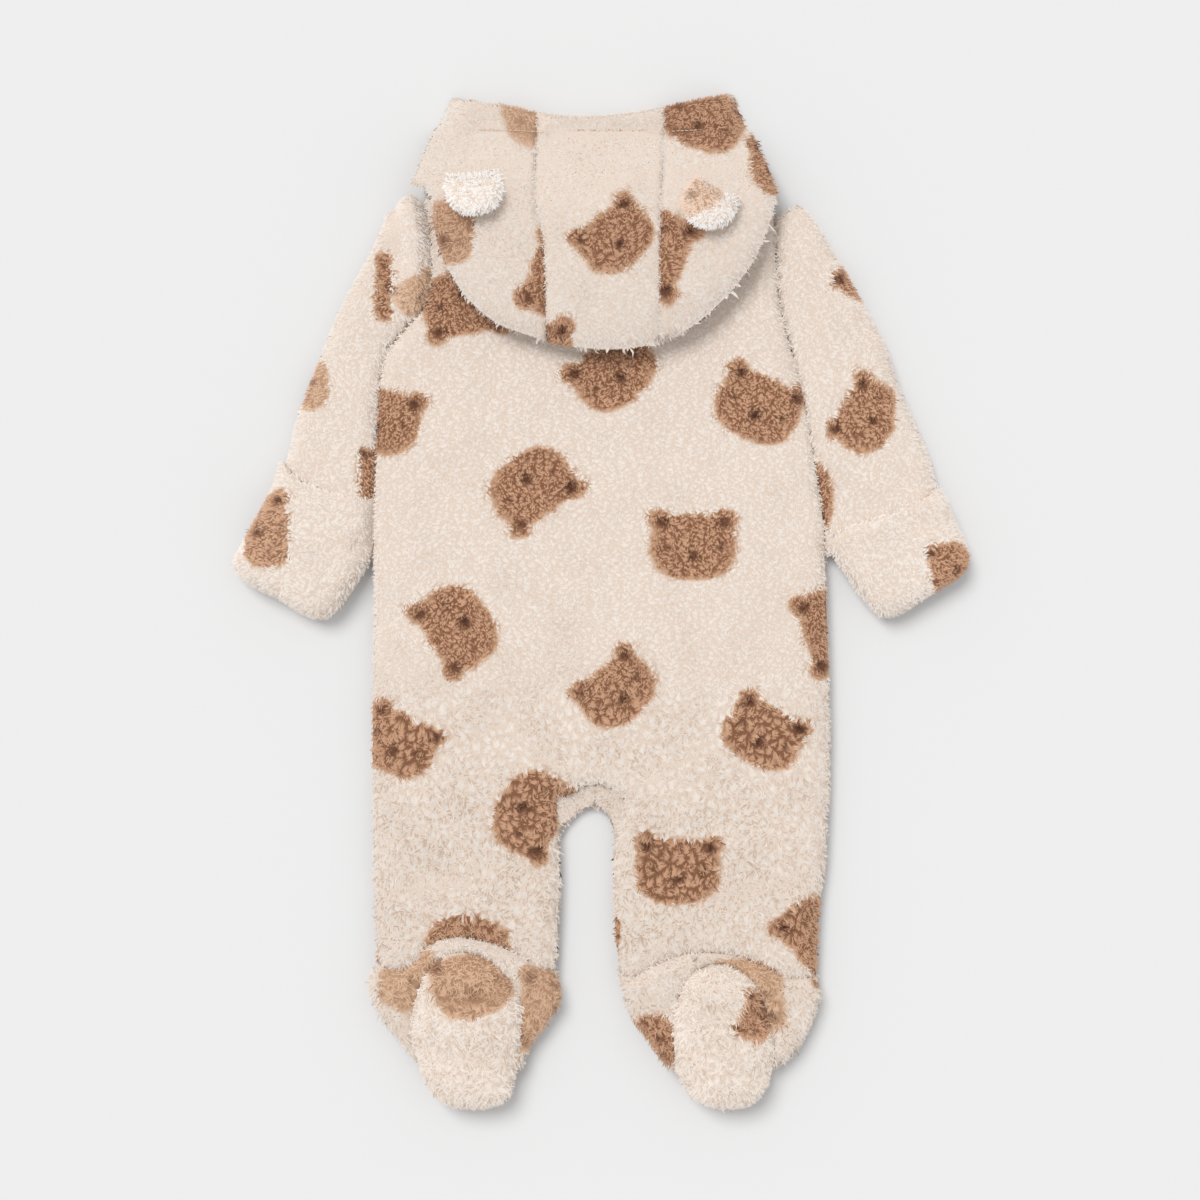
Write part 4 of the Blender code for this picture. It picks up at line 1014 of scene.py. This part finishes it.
# %% What the zip is made of
# Woven polyester tape: a herringbone of fine cords, dull, the colour of the fur.
TWILL = 0.9 * MM
tape_look, tree, shader = new_material("woven_polyester_tape")
low, high = (Vector(corner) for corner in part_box("zip_tape"))
zip_x = (low.x + high.x) / 2
parts = add_node(tree, "ShaderNodeSeparateXYZ", {
    0: add_node(tree, "ShaderNodeTexCoord").outputs["Object"]})
aside = maths(tree, "ADD", parts.outputs["X"], -zip_x)
aside = maths(tree, "ABSOLUTE", aside)
slant = maths(tree, "ADD", aside, parts.outputs["Y"])
slant = add_node(tree, "ShaderNodeCombineXYZ", {"X": slant})
cords = add_node(tree, "ShaderNodeTexWave", {
    "Vector": slant, "Scale": math.tau / (20 * TWILL), "Distortion": 0.3})
shade = add_node(tree, "ShaderNodeMix", {
    "Factor": cords.outputs["Fac"], "A": hex_colour("#B8A48F"), "B": hex_colour("#D8CABA")},
    data_type="RGBA")
tree.links.new(next(o for o in shade.outputs if o.enabled), shader.inputs["Base Color"])
shader.inputs["Roughness"].default_value = 0.8
bump(tape_look, cords.outputs["Fac"], 0.6, 0.1 * MM)


def speckled(name, light, shadow, roughness, grain):
    """A material of two near colours in a fine grain, a little uneven in gloss."""
    made, tree, shader = new_material(name)
    place = add_node(tree, "ShaderNodeTexCoord").outputs["Object"]
    grains = add_node(tree, "ShaderNodeTexNoise", {"Vector": place, "Scale": 1 / grain,
                                                   "Detail": 3.0})
    shade = add_node(tree, "ShaderNodeMix", {
        "Factor": grains, "A": hex_colour(shadow), "B": hex_colour(light)},
        data_type="RGBA")
    tree.links.new(next(o for o in shade.outputs if o.enabled), shader.inputs["Base Color"])
    gloss = add_node(tree, "ShaderNodeMapRange", {
        "Value": grains, "To Min": roughness - 0.08, "To Max": roughness + 0.12})
    tree.links.new(gloss.outputs[0], shader.inputs["Roughness"])
    bump(made, grains, 0.3, 0.05 * MM)
    return made, shader


# Drawn nylon: smooth and slightly clear, so its gloss is soft.
coil_look, shader = speckled("drawn_nylon_coil", "#E2D8CB", "#C9BAA8", 0.38, 0.8 * MM)
shader.inputs["IOR"].default_value = 1.53
# Spun polyester thread: hairy, with no gloss to speak of.
thread_look, shader = speckled("spun_polyester_thread", "#E6DDD2", "#BFAE9C", 0.75, 0.3 * MM)
# Cast zinc with a nickel plating, brushed dull where hands wear it.
zinc_look, shader = speckled("nickel_plated_cast_zinc", "#C4C2BE", "#9A9894", 0.34, 1.6 * MM)
shader.inputs["Metallic"].default_value = 1.0
for name in ("zip_slider", "zip_pull"):
    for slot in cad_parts[name].material_slots:
        slot.material = zinc_look

# %% Tapes
TAPE_SECTION = ((0.3, 0.10), (1.0, 0.0), (2.6, 0.12), (4.6, 0.15), (6.6, 0.15), (6.8, 0.4),
                (6.6, 0.7), (4.6, 0.7), (2.6, 0.7), (1.0, 0.9), (0.3, 0.75))
COIL_HIGH = 1.4 * MM    # how far the solid's coil hangs below the tape
TAPE_STEP = 3 * MM
RIPPLE, RIPPLES = 0.12 * MM, 60     # how high the ripples are, and how many in a metre


def zip_tapes():
    """Two woven tapes with a corded edge at the middle, slightly rippled by the sewing."""
    shape = bmesh.new()
    count = int((high.y - low.y) / TAPE_STEP)
    bottom = low.z + COIL_HIGH
    for side in (-1, 1):
        rings = []
        for step in range(count + 1):
            y = low.y + (high.y - low.y) * step / count
            lift = RIPPLE * (1 + noise.noise(Vector((side * 9, y * RIPPLES, 0))))
            rings.append([shape.verts.new((zip_x + side * x * MM, y, bottom + z * MM + lift))
                          for x, z in TAPE_SECTION])
        skin(shape, rings)
    made = from_shape("zip_tapes", shape)
    made.data.materials.append(tape_look)
    made.data.shade_smooth()
    return made


tapes = zip_tapes()

# %% Coil
TURN_WIDE, TURN_HIGH, TURN_OFF = 1.85, 0.36, 0.25   # mm: half sizes, and how far to one side
FILAMENT = 0.33
TURN_PITCH = 1.6 * MM
SLANT = 0.22
DRAWN = 0.4             # how wide a bar's drawn end is, as a share
END = 2 * MM            # the coil and the stitches stop this far from the tapes' ends


def tube(name, centres, radius, sides, closed):
    """A round bar through points in mm, its ends drawn to a point unless it is closed."""
    shape = bmesh.new()
    rings = []
    for i, centre in enumerate(centres):
        here = Vector(centre)
        last = i + 1 == len(centres) and not closed
        ahead = Vector(centre if last else centres[(i + 1) % len(centres)])
        behind = Vector(centres[i - 1] if closed or i else centre)
        turn = (ahead - behind).to_track_quat("Z", "Y")
        size = radius * (1 if closed or 0 < i < len(centres) - 1 else DRAWN)
        angles = [math.tau * k / sides for k in range(sides)]
        rings.append([shape.verts.new((here + turn @ Vector((
            size * math.cos(a), size * math.sin(a), 0))) * MM) for a in angles])
    skin(shape, rings, closed)
    return from_shape(name, shape)


def along_zip(aside, z):
    """A line beside the zip's middle, from near its lower end to near its upper end."""
    return [(zip_x + aside, y, z) for y in (low.y + END, high.y - END)]


angles = [math.tau * k / 12 for k in range(12)]
coil_turn = tube("coil_turn", [
    (TURN_OFF + TURN_WIDE * math.cos(a), SLANT * TURN_WIDE * math.cos(a), TURN_HIGH * math.sin(a))
    for a in angles], FILAMENT, 4, True)
zip_coil = row_of("zip_coil", [along_zip(0, low.z + COIL_HIGH / 2)], {
    "Piece": coil_turn, "Spacing": TURN_PITCH, "Turn": math.pi, "Material": coil_look})

# %% Stitches
STITCH = ((0, -1.2, -0.25), (0, -0.8, 0), (0, 0.8, 0), (0, 1.2, -0.25))
STITCH_PITCH = 2.9 * MM
SEWN_AT = 5.7 * MM      # from the zip's middle to the stitches through each tape
STITCH_SUNK = 0.05 * MM
HEM_LINE = ((480, 129), (520, 131), (560, 133), (610, 134), (660, 132), (700, 130))
HEM_DEEP = 2.1 * MM     # the thread lies this far down in the pile
OVERHEAD = 0.1          # metres, above the whole suit
stitch = tube("stitch", STITCH, 0.24, 6, False)
sewn_z = low.z + COIL_HIGH + STITCH_SUNK
seam = {"Piece": stitch, "Spacing": STITCH_PITCH, "Turn": 0.0, "Material": thread_look}
tape_stitches = row_of("tape_stitches", [
    along_zip(side * SEWN_AT, sewn_z) for side in (-1, 1)], seam)
hem = []
for pixel in HEM_LINE:
    x, y = at_pixel(*pixel)
    hem.append(solids.ray_cast(Vector((x, y, OVERHEAD)), Vector((0, 0, -1)))[0]
               - Vector((0, 0, HEM_DEEP)))
hem_stitches = row_of("hem_stitches", [hem], seam)

# %% Wear it
for cut in CUTS:
    cloth = cloths[cut.node]
    cloth.data.materials.append(knit_look)
    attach(cloth, SUIT)
    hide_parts(cut.node)
    for pile in piles[cut.node]:
        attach(pile, SUIT)
for piece in (tapes, zip_coil, tape_stitches, hem_stitches):
    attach(piece, SUIT)
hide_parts("zip_tape")
for guide in (*blades, coil_turn, stitch):
    bpy.data.objects.remove(guide)
